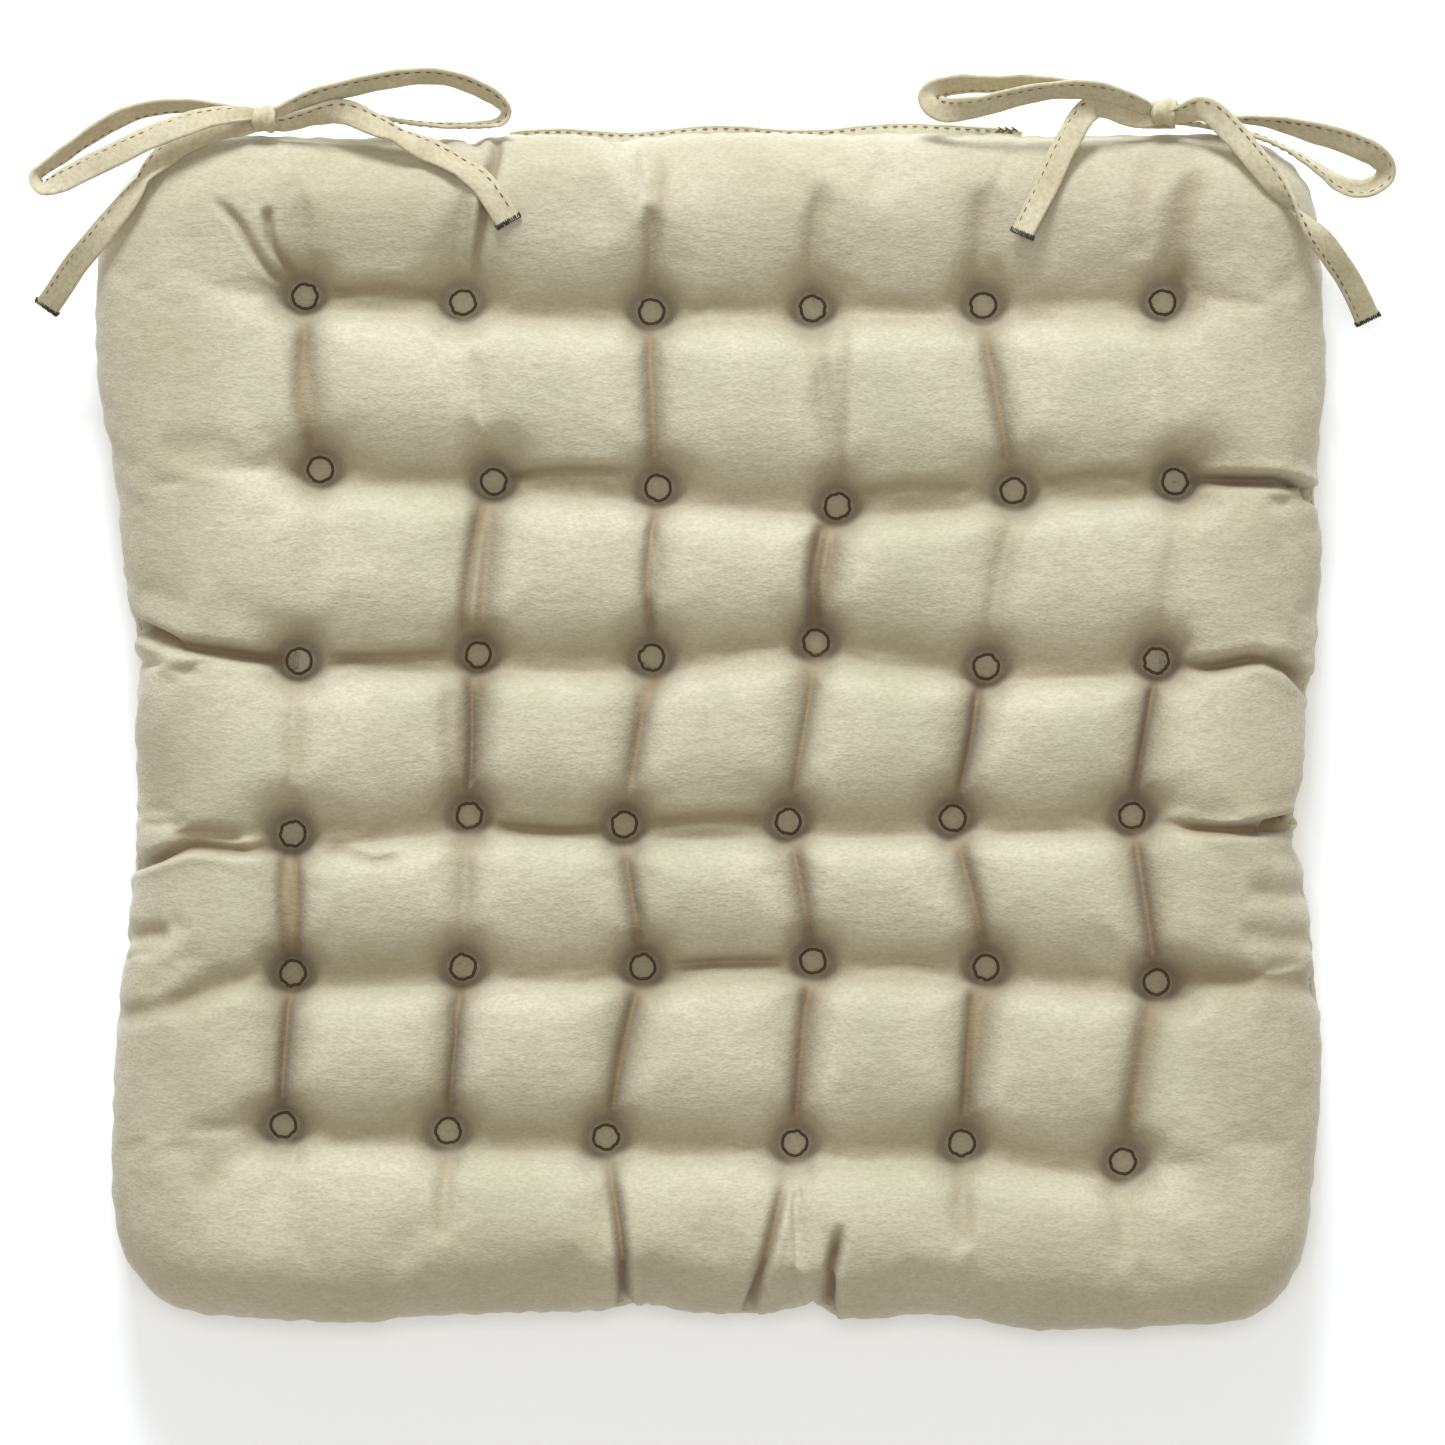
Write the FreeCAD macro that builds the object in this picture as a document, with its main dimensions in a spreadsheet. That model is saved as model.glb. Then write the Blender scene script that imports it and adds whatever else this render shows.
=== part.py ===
"""Tufted chair seat pad with a tied bow at each back corner.

Two fabric panels are sewn together round a fibre filling, and thirty-six round tufts are stitched
right through it. At each back corner two ties leave the seam and are knotted into a bow.
The pad lies in the XY plane with its back edge towards +Y. The origin is the centre of its underside.
Millimetres throughout.
"""

import FreeCAD, Part
import Sketcher
import math
import os

from FreeCAD import Placement, Rotation, Vector

doc = FreeCAD.newDocument("chair_seat_pad")

# ---------------------------------------------------------------- driving dimensions
dimensions = {
    "pad_width": 400,
    "pad_depth": 390,
    "pad_height": 50,
    "corner_radius": 34,
    "edge_roll": 24.9,
    "fabric_gauge": 1,
    "seam_allowance": 8,
    "lip_depth": 3,
    "lip_start": -64,
    "lip_length": 162,
    "stitch_pitch": 3.4,
    "stitch_count": 47,
    "seam_thread": 0.6,
    "seam_inset": 5,
    "tuft_pitch_x": 55.7,
    "tuft_pitch_y": 54.6,
    "tuft_waist": 5,
    "dimple_floor": 6,
    "dimple_mouth": 21,
    "tuft_ring": 4.1,
    "tuft_thread": 0.45,
    "tuft_legs": 6,
    "leg_radius": 0.35,
    "needle_clearance": 0.05,
    "tie_width": 8.5,
    "tie_gauge": 1.5,
    "tie_end_length": 1,
    "knot_length": 11,
    "knot_depth": 9,
    "knot_height": 12,
    "knot_round": 2,
    "bartack_length": 9,
    "bartack_width": 1.2,
}

sheet = doc.addObject("Spreadsheet::Sheet", "dims")
for row, (alias, value) in enumerate(dimensions.items(), start=1):
    sheet.set(f"A{row}", alias)
    sheet.set(f"B{row}", str(value))
    sheet.setAlias(f"B{row}", alias)
doc.recompute()


def dim(alias):
    """The value of one spreadsheet cell."""
    return float(getattr(sheet, alias))


# Heights of the seam plane and of the pad's back edge, worked out from the sheet.
seam_z = dim("pad_height") / 2
back_edge_y = dim("pad_depth") / 2 - dim("lip_depth") / 2
fabric = dim("fabric_gauge")

tuft_rows = range(1, 7)
tuft_columns = range(1, 7)

# How far each tuft was sewn from its point on the square grid, row by row from the back.
tuft_drift = {
    1: ((6, 5), (2, 3), (8, 0), (5, 1), (5, 2), (8, 3)),
    2: ((11, 3), (12, -1), (10, -3), (13, -9), (15, -4), (12, -1)),
    3: ((4, -5), (7, -3), (8, -4), (6, 1), (6, -7), (6, -5)),
    4: ((2, -7), (4, -1), (-1, -4), (-3, -3), (-5, -2), (-2, -1)),
    5: ((2, 2), (2, 4), (5, 4), (5, 6), (6, 4), (6, -1)),
    6: ((-1, 7), (-3, 5), (-7, 3), (-1, 1), (-2, 1), (-5, -5)),
}


def tuft_place(row, column):
    """Where a tuft's axis crosses the seam plane."""
    drift_x, drift_y = tuft_drift[row][column - 1]
    across = (column - 3.5) * dim("tuft_pitch_x") + drift_x
    along = (3.5 - row) * dim("tuft_pitch_y") + drift_y
    return Vector(across, along, seam_z)


# ---------------------------------------------------------------- helpers
def origin_plane(body, role):
    """One of a body's own origin planes."""
    return next(f for f in body.Origin.OriginFeatures if f.Role == role)


def rectangle_sketch(body, name, width, depth):
    """A rectangle centred on the body's XY plane, with its sides bound to two expressions."""
    sketch = body.newObject("Sketcher::SketchObject", name)
    sketch.AttachmentSupport = (origin_plane(body, "XY_Plane"), [""])
    sketch.MapMode = "FlatFace"
    corners = [Vector(-50, -50, 0), Vector(50, -50, 0), Vector(50, 50, 0), Vector(-50, 50, 0)]
    for i in range(4):
        sketch.addGeometry(Part.LineSegment(corners[i], corners[(i + 1) % 4]), False)
    for i in range(4):
        sketch.addConstraint(Sketcher.Constraint("Coincident", i, 2, (i + 1) % 4, 1))
        sketch.addConstraint(Sketcher.Constraint("Horizontal" if i % 2 == 0 else "Vertical", i))
    sketch.addConstraint(Sketcher.Constraint("Symmetric", 0, 1, 1, 2, -1, 1))
    across = sketch.addConstraint(Sketcher.Constraint("DistanceX", 0, 1, 0, 2, 100))
    along = sketch.addConstraint(Sketcher.Constraint("DistanceY", 1, 1, 1, 2, 100))
    sketch.setExpression(f"Constraints[{across}]", width)
    sketch.setExpression(f"Constraints[{along}]", depth)
    return sketch


def edges_where(shape, test):
    """The names of a shape's edges that pass a test."""
    return [f"Edge{i}" for i, edge in enumerate(shape.Edges, start=1) if test(edge)]


def is_upright(edge):
    low, high = (vertex.Point for vertex in edge.Vertexes[:2])
    return abs(low.z - high.z) > 0.01


def rounded_block(name, inset, low, high, roll=None):
    """A block with the pad's rounded outline, taken in by inset all round, between two heights.

    With roll, its top and bottom rims are rounded by that expression too.
    """
    body = doc.addObject("PartDesign::Body", name)
    sketch = rectangle_sketch(
        body,
        name + "_outline",
        f"dims.pad_width - 2 * ({inset})",
        f"dims.pad_depth - 2 * ({inset})",
    )
    pad = body.newObject("PartDesign::Pad", name + "_pad")
    pad.Profile = sketch
    pad.setExpression("Length", f"({high}) - ({low})")
    doc.recompute()
    corners = body.newObject("PartDesign::Fillet", name + "_corners")
    corners.Base = (pad, edges_where(pad.Shape, is_upright))
    corners.setExpression("Radius", f"dims.corner_radius - ({inset})")
    doc.recompute()
    if roll:
        rims = body.newObject("PartDesign::Fillet", name + "_rims")
        rims.Base = (corners, edges_where(corners.Shape, lambda edge: not is_upright(edge)))
        rims.setExpression("Radius", roll)
    body.setExpression("Placement.Base.y", "-dims.lip_depth / 2")
    body.setExpression("Placement.Base.z", low)
    doc.recompute()
    return body


def boolean(kind, name, base, tool):
    """A Part::Cut or Part::Common of two objects."""
    made = doc.addObject("Part::" + kind, name)
    made.Base = base
    made.Tool = tool
    return made


def fuse(name, *shapes):
    made = doc.addObject("Part::MultiFuse", name)
    made.Shapes = list(shapes)
    return made


def fixed_shape(name, shape, place=None):
    """An object whose shape comes straight from Part's functions."""
    made = doc.addObject("Part::Feature", name)
    made.Shape = shape
    made.Placement = place or Placement()
    return made


def box(name, low_x, low_y, low_z, length, width, height):
    """A Part::Box whose place and sizes are expressions."""
    made = doc.addObject("Part::Box", name)
    for prop, expression in (
        ("Placement.Base.x", low_x),
        ("Placement.Base.y", low_y),
        ("Placement.Base.z", low_z),
        ("Length", length),
        ("Width", width),
        ("Height", height),
    ):
        made.setExpression(prop, expression)
    return made


# ---------------------------------------------------------------- pad outline, outside and inside
mid = "dims.pad_height / 2"
outside = rounded_block("outside", "0", "0", "dims.pad_height", "dims.edge_roll")
inside = rounded_block(
    "inside",
    "dims.fabric_gauge",
    "dims.fabric_gauge",
    "dims.pad_height - dims.fabric_gauge",
    "dims.edge_roll - dims.fabric_gauge",
)


# ---------------------------------------------------------------- tuft dimples
def dimple(offset):
    """The hollow above one tuft, measured up from the seam plane; offset takes it into the fabric.

    Its wall is an arc that leaves the floor upright and flares out over the puffs round it.
    """
    floor_radius = dim("dimple_floor")
    flare = dim("dimple_mouth") - floor_radius
    rise = dim("pad_height") / 2 - dim("tuft_waist") / 2
    wall_radius = (flare**2 + rise**2) / (2 * flare)
    centre_x = floor_radius + wall_radius
    centre_z = dim("tuft_waist") / 2
    wall = wall_radius - offset
    floor_z = centre_z - offset
    top_z = dim("pad_height") / 2 - offset

    def on_wall(z):
        return Vector(centre_x - math.sqrt(wall**2 - (z - centre_z) ** 2), 0, z)

    foot, middle, mouth = on_wall(floor_z), on_wall((floor_z + top_z) / 2), on_wall(top_z)
    above = top_z + 3
    edges = [
        Part.LineSegment(Vector(0, 0, floor_z), foot).toShape(),
        Part.Arc(foot, middle, mouth).toShape(),
        Part.LineSegment(mouth, Vector(mouth.x, 0, above)).toShape(),
        Part.LineSegment(Vector(mouth.x, 0, above), Vector(0, 0, above)).toShape(),
        Part.LineSegment(Vector(0, 0, above), Vector(0, 0, floor_z)).toShape(),
    ]
    return Part.Face(Part.Wire(edges)).revolve(Vector(), Vector(0, 0, 1), 360)


def all_dimples(name, offset):
    """Every tuft's dimple, above and below, as one tool."""
    upper = dimple(offset)
    lower = upper.copy()
    lower.rotate(Vector(), Vector(1, 0, 0), 180)
    made = []
    for row in tuft_rows:
        for column in tuft_columns:
            place = tuft_place(row, column)
            made += [upper.translated(place), lower.translated(place)]
    return fixed_shape(name, Part.makeCompound(made))


outside_tufted = boolean("Cut", "outside_tufted", outside, all_dimples("outside_dimples", 0))
inside_tufted = boolean("Cut", "inside_tufted", inside, all_dimples("inside_dimples", fabric))

# ---------------------------------------------------------------- seam allowance and needle holes
allowance_low = f"{mid} - dims.fabric_gauge"
allowance_high = f"{mid} + dims.fabric_gauge"
allowance = boolean(
    "Cut",
    "allowance",
    rounded_block("allowance_outer", "dims.fabric_gauge", allowance_low, allowance_high),
    rounded_block(
        "allowance_inner", "dims.fabric_gauge + dims.seam_allowance", allowance_low, allowance_high
    ),
)

lip = box(
    "closing_lip",
    "dims.lip_start",
    "dims.pad_depth / 2 - dims.lip_depth / 2 - 2 * dims.fabric_gauge",
    allowance_low,
    "dims.lip_length",
    "dims.lip_depth + 2 * dims.fabric_gauge",
    "2 * dims.fabric_gauge",
)


def leg_offsets():
    """Where the thread goes through the cloth round one tuft."""
    count = int(dim("tuft_legs"))
    for i in range(count):
        angle = 2 * math.pi * i / count
        yield Vector(math.cos(angle), math.sin(angle), 0) * dim("tuft_ring")


def seam_path():
    """The line of the hidden perimeter seam, a rounded rectangle in the seam plane."""
    inset = dim("seam_inset")
    half_x = dim("pad_width") / 2 - inset
    half_y = dim("pad_depth") / 2 - inset
    radius = dim("corner_radius") - inset
    shift = -dim("lip_depth") / 2
    edges = []
    for quarter, (sign_x, sign_y) in enumerate(((1, 1), (-1, 1), (-1, -1), (1, -1))):
        centre = Vector(sign_x * (half_x - radius), sign_y * (half_y - radius) + shift, seam_z)
        turn = [math.radians(90 * quarter + step) for step in (0, 45, 90)]
        points = [centre + Vector(math.cos(t), math.sin(t), 0) * radius for t in turn]
        if edges:
            edges.append(Part.LineSegment(edges[-1].Vertexes[-1].Point, points[0]).toShape())
        edges.append(Part.Arc(*points).toShape())
    edges.append(Part.LineSegment(edges[-1].Vertexes[-1].Point, edges[0].Vertexes[0].Point).toShape())
    return Part.Wire(edges)


seam_leg_spacing = 12
seam_legs = [
    point for point in seam_path().discretize(Number=int(seam_path().Length / seam_leg_spacing))
][:-1]


def closing_legs():
    """Where the closing stitches go through the lip."""
    first = dim("lip_start") + dim("stitch_pitch") / 2
    along = back_edge_y + dim("lip_depth") / 2
    return [Vector(first + i * dim("stitch_pitch"), along, seam_z) for i in range(int(dim("stitch_count")))]


def upright(point, radius, half_height):
    """A thin upright cylinder centred on a point."""
    return Part.makeCylinder(radius, 2 * half_height, point - Vector(0, 0, half_height))


def needle_holes():
    """Every hole that thread passes through, a little wider than the thread."""
    radius = dim("leg_radius") + dim("needle_clearance")
    waist = dim("tuft_waist")
    made = []
    for row in tuft_rows:
        for column in tuft_columns:
            place = tuft_place(row, column)
            made += [upright(place + offset, radius, waist) for offset in leg_offsets()]
    made += [upright(point, radius, 3 * fabric) for point in seam_legs]
    made += [upright(point, radius, 2 * fabric) for point in closing_legs()]
    return Part.makeCompound(made)


holes = fixed_shape("needle_holes", needle_holes())

# ---------------------------------------------------------------- bow positions
# Each bow's knot stands over the back edge, and its ties leave the seam just in front of it.
knots = {
    "left": Vector(-146, 199.5, 40),
    "right": Vector(146, 201, 40),
}


def bartack_slot(side, clearance, name):
    """The dense bar of thread that holds a bow's ties in the seam allowance."""
    length = dim("bartack_length") + 2 * clearance
    width = dim("bartack_width") + 2 * clearance
    height = 2 * fabric + 2 * dim("seam_thread") + 2 * clearance
    corner = Vector(
        knots[side].x - length / 2,
        back_edge_y - 2 * fabric - width / 2 - 1,
        seam_z - height / 2,
    )
    return fixed_shape(name, Part.makeBox(length, width, height, corner))


bartack_slots = fuse(
    "bartack_slots",
    bartack_slot("left", dim("needle_clearance"), "left_bartack_slot"),
    bartack_slot("right", dim("needle_clearance"), "right_bartack_slot"),
)

# ---------------------------------------------------------------- perimeter seam
thread_half = "dims.seam_thread / 2"


def thread_ring(name, low, high, slack="0"):
    """A thin square-section ring that follows the perimeter seam."""
    return boolean(
        "Cut",
        name,
        rounded_block(name + "_outer", f"dims.seam_inset - {thread_half} - {slack}", low, high),
        rounded_block(name + "_inner", f"dims.seam_inset + {thread_half} + {slack}", low, high),
    )


upper_thread = thread_ring("upper_thread", allowance_high, f"{allowance_high} + dims.seam_thread")
lower_thread = thread_ring("lower_thread", f"{allowance_low} - dims.seam_thread", allowance_low)
thread_groove = thread_ring(
    "thread_groove",
    f"{allowance_low} - dims.seam_thread - dims.needle_clearance",
    f"{allowance_high} + dims.seam_thread + dims.needle_clearance",
    "dims.needle_clearance",
)
seam_leg_height = fabric + dim("seam_thread") / 2
seam_leg_bundle = fixed_shape(
    "seam_leg_bundle",
    Part.makeCompound([upright(point, dim("leg_radius") * 0.8, seam_leg_height) for point in seam_legs]),
)
perimeter_seam = fuse("perimeter_seam", upper_thread, lower_thread, seam_leg_bundle)

# ---------------------------------------------------------------- panels and filling
cover = fuse("cover", boolean("Cut", "cover_shell", outside_tufted, inside_tufted), allowance, lip)
half_span = "dims.pad_width"
upper_half = box("upper_half", f"-{half_span}", f"-{half_span}", mid, "2 * dims.pad_width", "2 * dims.pad_width", "dims.pad_height")
lower_half = box("lower_half", f"-{half_span}", f"-{half_span}", f"{mid} - dims.pad_height", "2 * dims.pad_width", "2 * dims.pad_width", "dims.pad_height")
holes_and_slots = fuse("holes_and_slots", holes, bartack_slots)

top_panel = boolean("Cut", "top_panel", boolean("Common", "top_half", cover, upper_half), holes_and_slots)
bottom_panel = boolean(
    "Cut", "bottom_panel", boolean("Common", "bottom_half", cover, lower_half), holes_and_slots
)
filling = boolean(
    "Cut",
    "filling",
    inside_tufted,
    fuse("filling_tools", allowance, thread_groove, holes_and_slots),
)

# ---------------------------------------------------------------- closing seam on the back edge
closing_y = "dims.pad_depth / 2 - dims.seam_thread / 2"


def closing_run(name, low):
    return box(
        name,
        "dims.lip_start + dims.stitch_pitch / 2 - dims.seam_thread / 2",
        closing_y,
        low,
        "(dims.stitch_count - 1) * dims.stitch_pitch + dims.seam_thread",
        "dims.seam_thread",
        "dims.seam_thread",
    )


closing_leg_bundle = fixed_shape(
    "closing_leg_bundle",
    Part.makeCompound([upright(point, dim("leg_radius") * 0.8, seam_leg_height) for point in closing_legs()]),
)
closing_seam = fuse(
    "closing_seam",
    closing_run("closing_upper_run", allowance_high),
    closing_run("closing_lower_run", f"{allowance_low} - dims.seam_thread"),
    closing_leg_bundle,
)


# ---------------------------------------------------------------- tufts
def tuft(row, column):
    """One tuft: a ring of thread on each face of the pad, joined by stitches through the waist."""
    name = f"tuft_row{row}_col{column}"
    parts = []
    for side, sign in (("upper", 1), ("lower", -1)):
        ring = doc.addObject("Part::Torus", f"{name}_{side}_ring")
        ring.setExpression("Radius1", "dims.tuft_ring")
        ring.setExpression("Radius2", "dims.tuft_thread")
        ring.setExpression("Placement.Base.z", f"{sign} * (dims.tuft_waist / 2 + dims.tuft_thread)")
        parts.append(ring)
    for i in range(int(dim("tuft_legs"))):
        leg = doc.addObject("Part::Cylinder", f"{name}_leg{i + 1}")
        turn = f"360 deg * {i} / dims.tuft_legs"
        leg.setExpression("Radius", "dims.leg_radius")
        leg.setExpression("Height", "dims.tuft_waist + 2 * dims.tuft_thread")
        leg.setExpression("Placement.Base.x", f"dims.tuft_ring * cos({turn})")
        leg.setExpression("Placement.Base.y", f"dims.tuft_ring * sin({turn})")
        leg.setExpression("Placement.Base.z", "-(dims.tuft_waist / 2 + dims.tuft_thread)")
        parts.append(leg)
    made = fuse(name, *parts)
    made.Placement = Placement(tuft_place(row, column), Rotation())
    return made


tufts = [tuft(row, column) for row in tuft_rows for column in tuft_columns]


# ---------------------------------------------------------------- ties
# A tie is a flat cloth strip. It is held here as a round tube of the strip's own section area.
# It leaves the seam as its root, makes one loop of the bow and ends in its tail; the rest of it is
# wound up in the knot. Each stretch is a list of route points.
# The whole bow swings about a line along the seam, this far behind the back edge.
hinge_gap = 1.1
# The two roots of a bow stand side by side under its knot.
root_gap = 2.3


def root_route(side, place):
    """From the seam up into the underside of the knot."""
    outwards = -1 if side == "left" else 1
    x = knots[side].x + (outwards if place == "outer" else -outwards) * root_gap
    foot = Vector(x, back_edge_y + 2.7, seam_z + 0.5)
    return [foot, Vector(x, knots[side].y - 1, seam_z + 4.5), Vector(x, knots[side].y, knot_bottom(side))]


def knot_bottom(side):
    return knots[side].z - dim("knot_height") / 2


loop_routes = {
    ("left", "outer"): (
        (-151.5, 200.6, 43.8), (-165, 199, 50), (-180, 193.5, 53), (-195, 186.5, 53), (-209, 179.5, 50.5),
        (-218.5, 175.5, 46.5), (-221, 181, 42), (-212.5, 186.5, 39.5), (-200, 196, 38.5),
        (-185, 203, 37.5), (-168, 203.5, 37), (-151.5, 200.9, 37.4),
    ),
    ("left", "inner"): (
        (-140.5, 201.2, 43.8), (-128, 206.5, 47), (-110, 210.5, 47.5), (-92, 213.5, 47), (-77, 209.5, 45),
        (-67.5, 203.5, 42), (-68, 197.8, 39), (-80, 196.8, 36.5), (-96, 197.4, 35.5),
        (-112, 200.5, 35.5), (-127, 202.5, 36.5), (-140.5, 201.3, 37.2),
    ),
    ("right", "inner"): (
        (140.5, 202.8, 43.8), (130, 207, 48), (115, 208.6, 50.5), (98, 205.5, 49.5), (84.5, 201.8, 47.5),
        (73.5, 201.4, 44.5), (69.8, 206.5, 41.5), (77, 210.5, 39.5), (90, 210.3, 38.8),
        (105, 211, 38.5), (122, 209, 38), (140.5, 203, 37.6),
    ),
    ("right", "outer"): (
        (151.5, 202.8, 38.8), (164, 199.2, 40), (179, 198.5, 42.5), (194, 195.2, 41.5), (208, 191.2, 39),
        (218, 187, 35.5), (221, 180.5, 32), (213, 175.8, 29.5), (203.5, 178, 28),
        (193.5, 187.5, 27.5), (182, 196.5, 28.5), (167, 201.5, 32), (151.5, 198.7, 36.2),
    ),
}
tail_routes = {
    ("left", "outer"): (
        (-151.5, 196.9, 40.2), (-162, 196, 41), (-172, 191.5, 43.5), (-181.5, 184.5, 46.5),
        (-187.5, 175.5, 48), (-194.5, 166.5, 46.5), (-205, 155, 40.5), (-212, 146, 33.5), (-218, 137.5, 27.5),
    ),
    ("left", "inner"): (
        (-140.5, 197, 40.4), (-131, 199.5, 43), (-121, 202, 45), (-109, 196.5, 46.5), (-99, 191.5, 47.5),
        (-88, 186.5, 49.5), (-77.5, 180.5, 52), (-71, 173, 53.5), (-66, 164.5, 54),
    ),
    ("right", "inner"): (
        (140.5, 198.5, 40.8), (132, 202, 43.3), (123.5, 203.5, 45.5), (118, 196, 47.5),
        (113.5, 187.5, 49.5), (107.5, 174.5, 52.5), (100.5, 160.5, 54),
    ),
    ("right", "outer"): (
        (151.5, 199.8, 43.6), (161, 203, 49), (169.5, 194, 48.5), (178, 184, 50), (186, 173.5, 50.5),
        (194, 163.5, 48.5), (201, 156, 44), (208.5, 146, 36), (214.5, 133.5, 28.5),
    ),
}


def rounded_path(points):
    """Straight runs joined by tangent arcs, each as large as its two runs allow, and their radii."""
    edges, radii = [], []
    at = points[0]
    for before, corner, after in zip(points, points[1:], points[2:]):
        come, go = corner - before, after - corner
        trim = 0.45 * min(come.Length, go.Length)
        come.normalize()
        go.normalize()
        turn = come.getAngle(go)
        radius = trim / math.tan(turn / 2)
        start, end = corner - come * trim, corner + go * trim
        inward = go - come
        inward.normalize()
        centre = corner + inward * (radius / math.cos(turn / 2))
        edges.append(Part.LineSegment(at, start).toShape())
        edges.append(Part.Arc(start, centre - inward * radius, end).toShape())
        radii.append(radius)
        at = end
    edges.append(Part.LineSegment(at, points[-1]).toShape())
    return Part.Wire(edges), radii


def tube(name, points, radius):
    """A round tube along a route, with its length, its volume's share and its radii printed."""
    points = [Vector(*point) for point in points]
    path, radii = rounded_path(points)
    section = Part.Wire(Part.makeCircle(radius, points[0], points[1] - points[0]))
    solid = path.makePipeShell([section], True, False)
    share = solid.Volume / (math.pi * radius**2 * path.Length)
    tight = ", ".join(f"{value:.0f}" for value in radii)
    print(f"{name}: length {path.Length:.1f}, volume share {share:.3f}, radii {tight}")
    return solid, path.Length


def tie(side, place):
    """One tie as root, loop and tail, and the thread that closes its free end."""
    name = f"{side}_tie_{place}"
    radius = math.sqrt(dim("tie_width") * dim("tie_gauge") / math.pi)
    tail = tail_routes[side, place]
    routes = {"root": root_route(side, place), "loop": loop_routes[side, place], "tail": tail}
    solids, total = [], 0
    for stretch, points in routes.items():
        solid, length = tube(f"{name} {stretch}", points, radius)
        solids.append(solid)
        total += length
    print(f"{name}: {total:.0f} outside the seam and the knot")
    last, end = Vector(*tail[-2]), Vector(*tail[-1])
    cap = Part.makeCylinder(radius + dim("seam_thread") / 2, dim("tie_end_length"), end, end - last)
    return [fixed_shape(name, Part.makeCompound(solids)), fixed_shape(name + "_end", cap)]


def knot(side):
    """The outer shape of the tied knot."""
    made = doc.addObject("PartDesign::Body", f"{side}_bow_knot")
    outline = rectangle_sketch(made, f"{side}_knot_outline", "dims.knot_length", "dims.knot_depth")
    block = made.newObject("PartDesign::Pad", f"{side}_knot_block")
    block.Profile = outline
    block.setExpression("Length", "dims.knot_height")
    doc.recompute()
    rims = made.newObject("PartDesign::Fillet", f"{side}_knot_rims")
    rims.Base = (block, edges_where(block.Shape, lambda edge: True))
    rims.setExpression("Radius", "dims.knot_round")
    made.Placement = Placement(knots[side] - Vector(0, 0, dim("knot_height") / 2), Rotation())
    return made


bow_parts = []
for side in ("left", "right"):
    for place in ("outer", "inner"):
        bow_parts += tie(side, place)
    bow_parts.append(knot(side))
    bow_parts.append(bartack_slot(side, 0, f"{side}_tie_bartack"))
hinge_y = back_edge_y + hinge_gap
print(f"hinge line: y {hinge_y:.2f}, z {seam_z:.2f}")

# ---------------------------------------------------------------- check and write
doc.recompute()
kept = [top_panel, bottom_panel, filling, perimeter_seam, closing_seam] + tufts + bow_parts
for item in doc.Objects:
    if "Invalid" in item.State or "Error" in item.State:
        raise RuntimeError(f"{item.Name} failed to build: {item.State}")
for item in kept:
    if item.Shape.isNull() or not item.Shape.isValid() or not item.Shape.Solids:
        raise RuntimeError(f"{item.Name} has no valid solid")

os.makedirs("parts", exist_ok=True)
for item in kept:
    item.Label = item.Name
    item.Shape.exportStep(os.path.join("parts", item.Label + ".step"))
print(f"{len(kept)} sub-parts written")
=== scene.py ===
import math
import bmesh
import bpy
import numpy as np
from mathutils import Matrix, Vector


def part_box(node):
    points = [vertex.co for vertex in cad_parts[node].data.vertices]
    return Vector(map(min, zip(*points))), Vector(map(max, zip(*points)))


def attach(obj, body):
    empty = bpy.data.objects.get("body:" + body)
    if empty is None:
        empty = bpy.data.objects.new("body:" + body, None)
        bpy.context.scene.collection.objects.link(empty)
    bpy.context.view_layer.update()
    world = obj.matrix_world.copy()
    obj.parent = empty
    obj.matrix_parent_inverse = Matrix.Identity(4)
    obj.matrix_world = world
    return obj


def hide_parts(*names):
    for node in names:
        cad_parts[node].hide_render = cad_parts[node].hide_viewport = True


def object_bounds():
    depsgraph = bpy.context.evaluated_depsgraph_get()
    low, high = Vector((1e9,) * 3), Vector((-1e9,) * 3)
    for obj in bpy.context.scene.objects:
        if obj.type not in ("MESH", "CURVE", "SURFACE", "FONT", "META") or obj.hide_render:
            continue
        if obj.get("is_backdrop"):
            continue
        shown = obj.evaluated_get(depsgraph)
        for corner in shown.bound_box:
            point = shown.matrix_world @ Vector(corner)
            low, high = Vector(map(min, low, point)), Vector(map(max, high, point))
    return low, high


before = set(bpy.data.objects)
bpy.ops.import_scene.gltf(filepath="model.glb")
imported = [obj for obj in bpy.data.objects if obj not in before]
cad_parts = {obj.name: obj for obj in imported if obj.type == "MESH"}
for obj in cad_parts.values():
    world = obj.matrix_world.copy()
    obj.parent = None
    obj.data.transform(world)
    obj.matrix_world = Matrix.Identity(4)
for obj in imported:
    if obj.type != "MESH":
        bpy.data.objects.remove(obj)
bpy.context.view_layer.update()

mm = 0.001

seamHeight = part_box("top_panel")[0].z
tuftsPerSide = 6
tuftRows = range(1, tuftsPerSide + 1)
tuftSpots = {}  # row 1 is at the back, column 1 on the left
for row in tuftRows:
    for column in tuftRows:
        low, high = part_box(f"tuft_row{row}_col{column}")
        tuftSpots[row, column] = (low + high) / 2
print("frame read,", len(tuftSpots), "tufts")

# the camera looks straight down from high above, with a long lens
cameraSet = {"lens": 300, "sensor": 36, "frame": 471.8 * mm, "aim": Vector((3.3, 2.1, 35)) * mm}
bpy.ops.object.camera_add()
camera = bpy.context.object
camera.data.lens = cameraSet["lens"]
camera.data.sensor_width = cameraSet["sensor"]
standOff = cameraSet["frame"] * cameraSet["lens"] / cameraSet["sensor"]
camera.location = cameraSet["aim"] + Vector((0, 0, standOff))
camera.data.clip_end = 50
bpy.context.scene.camera = camera


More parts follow.
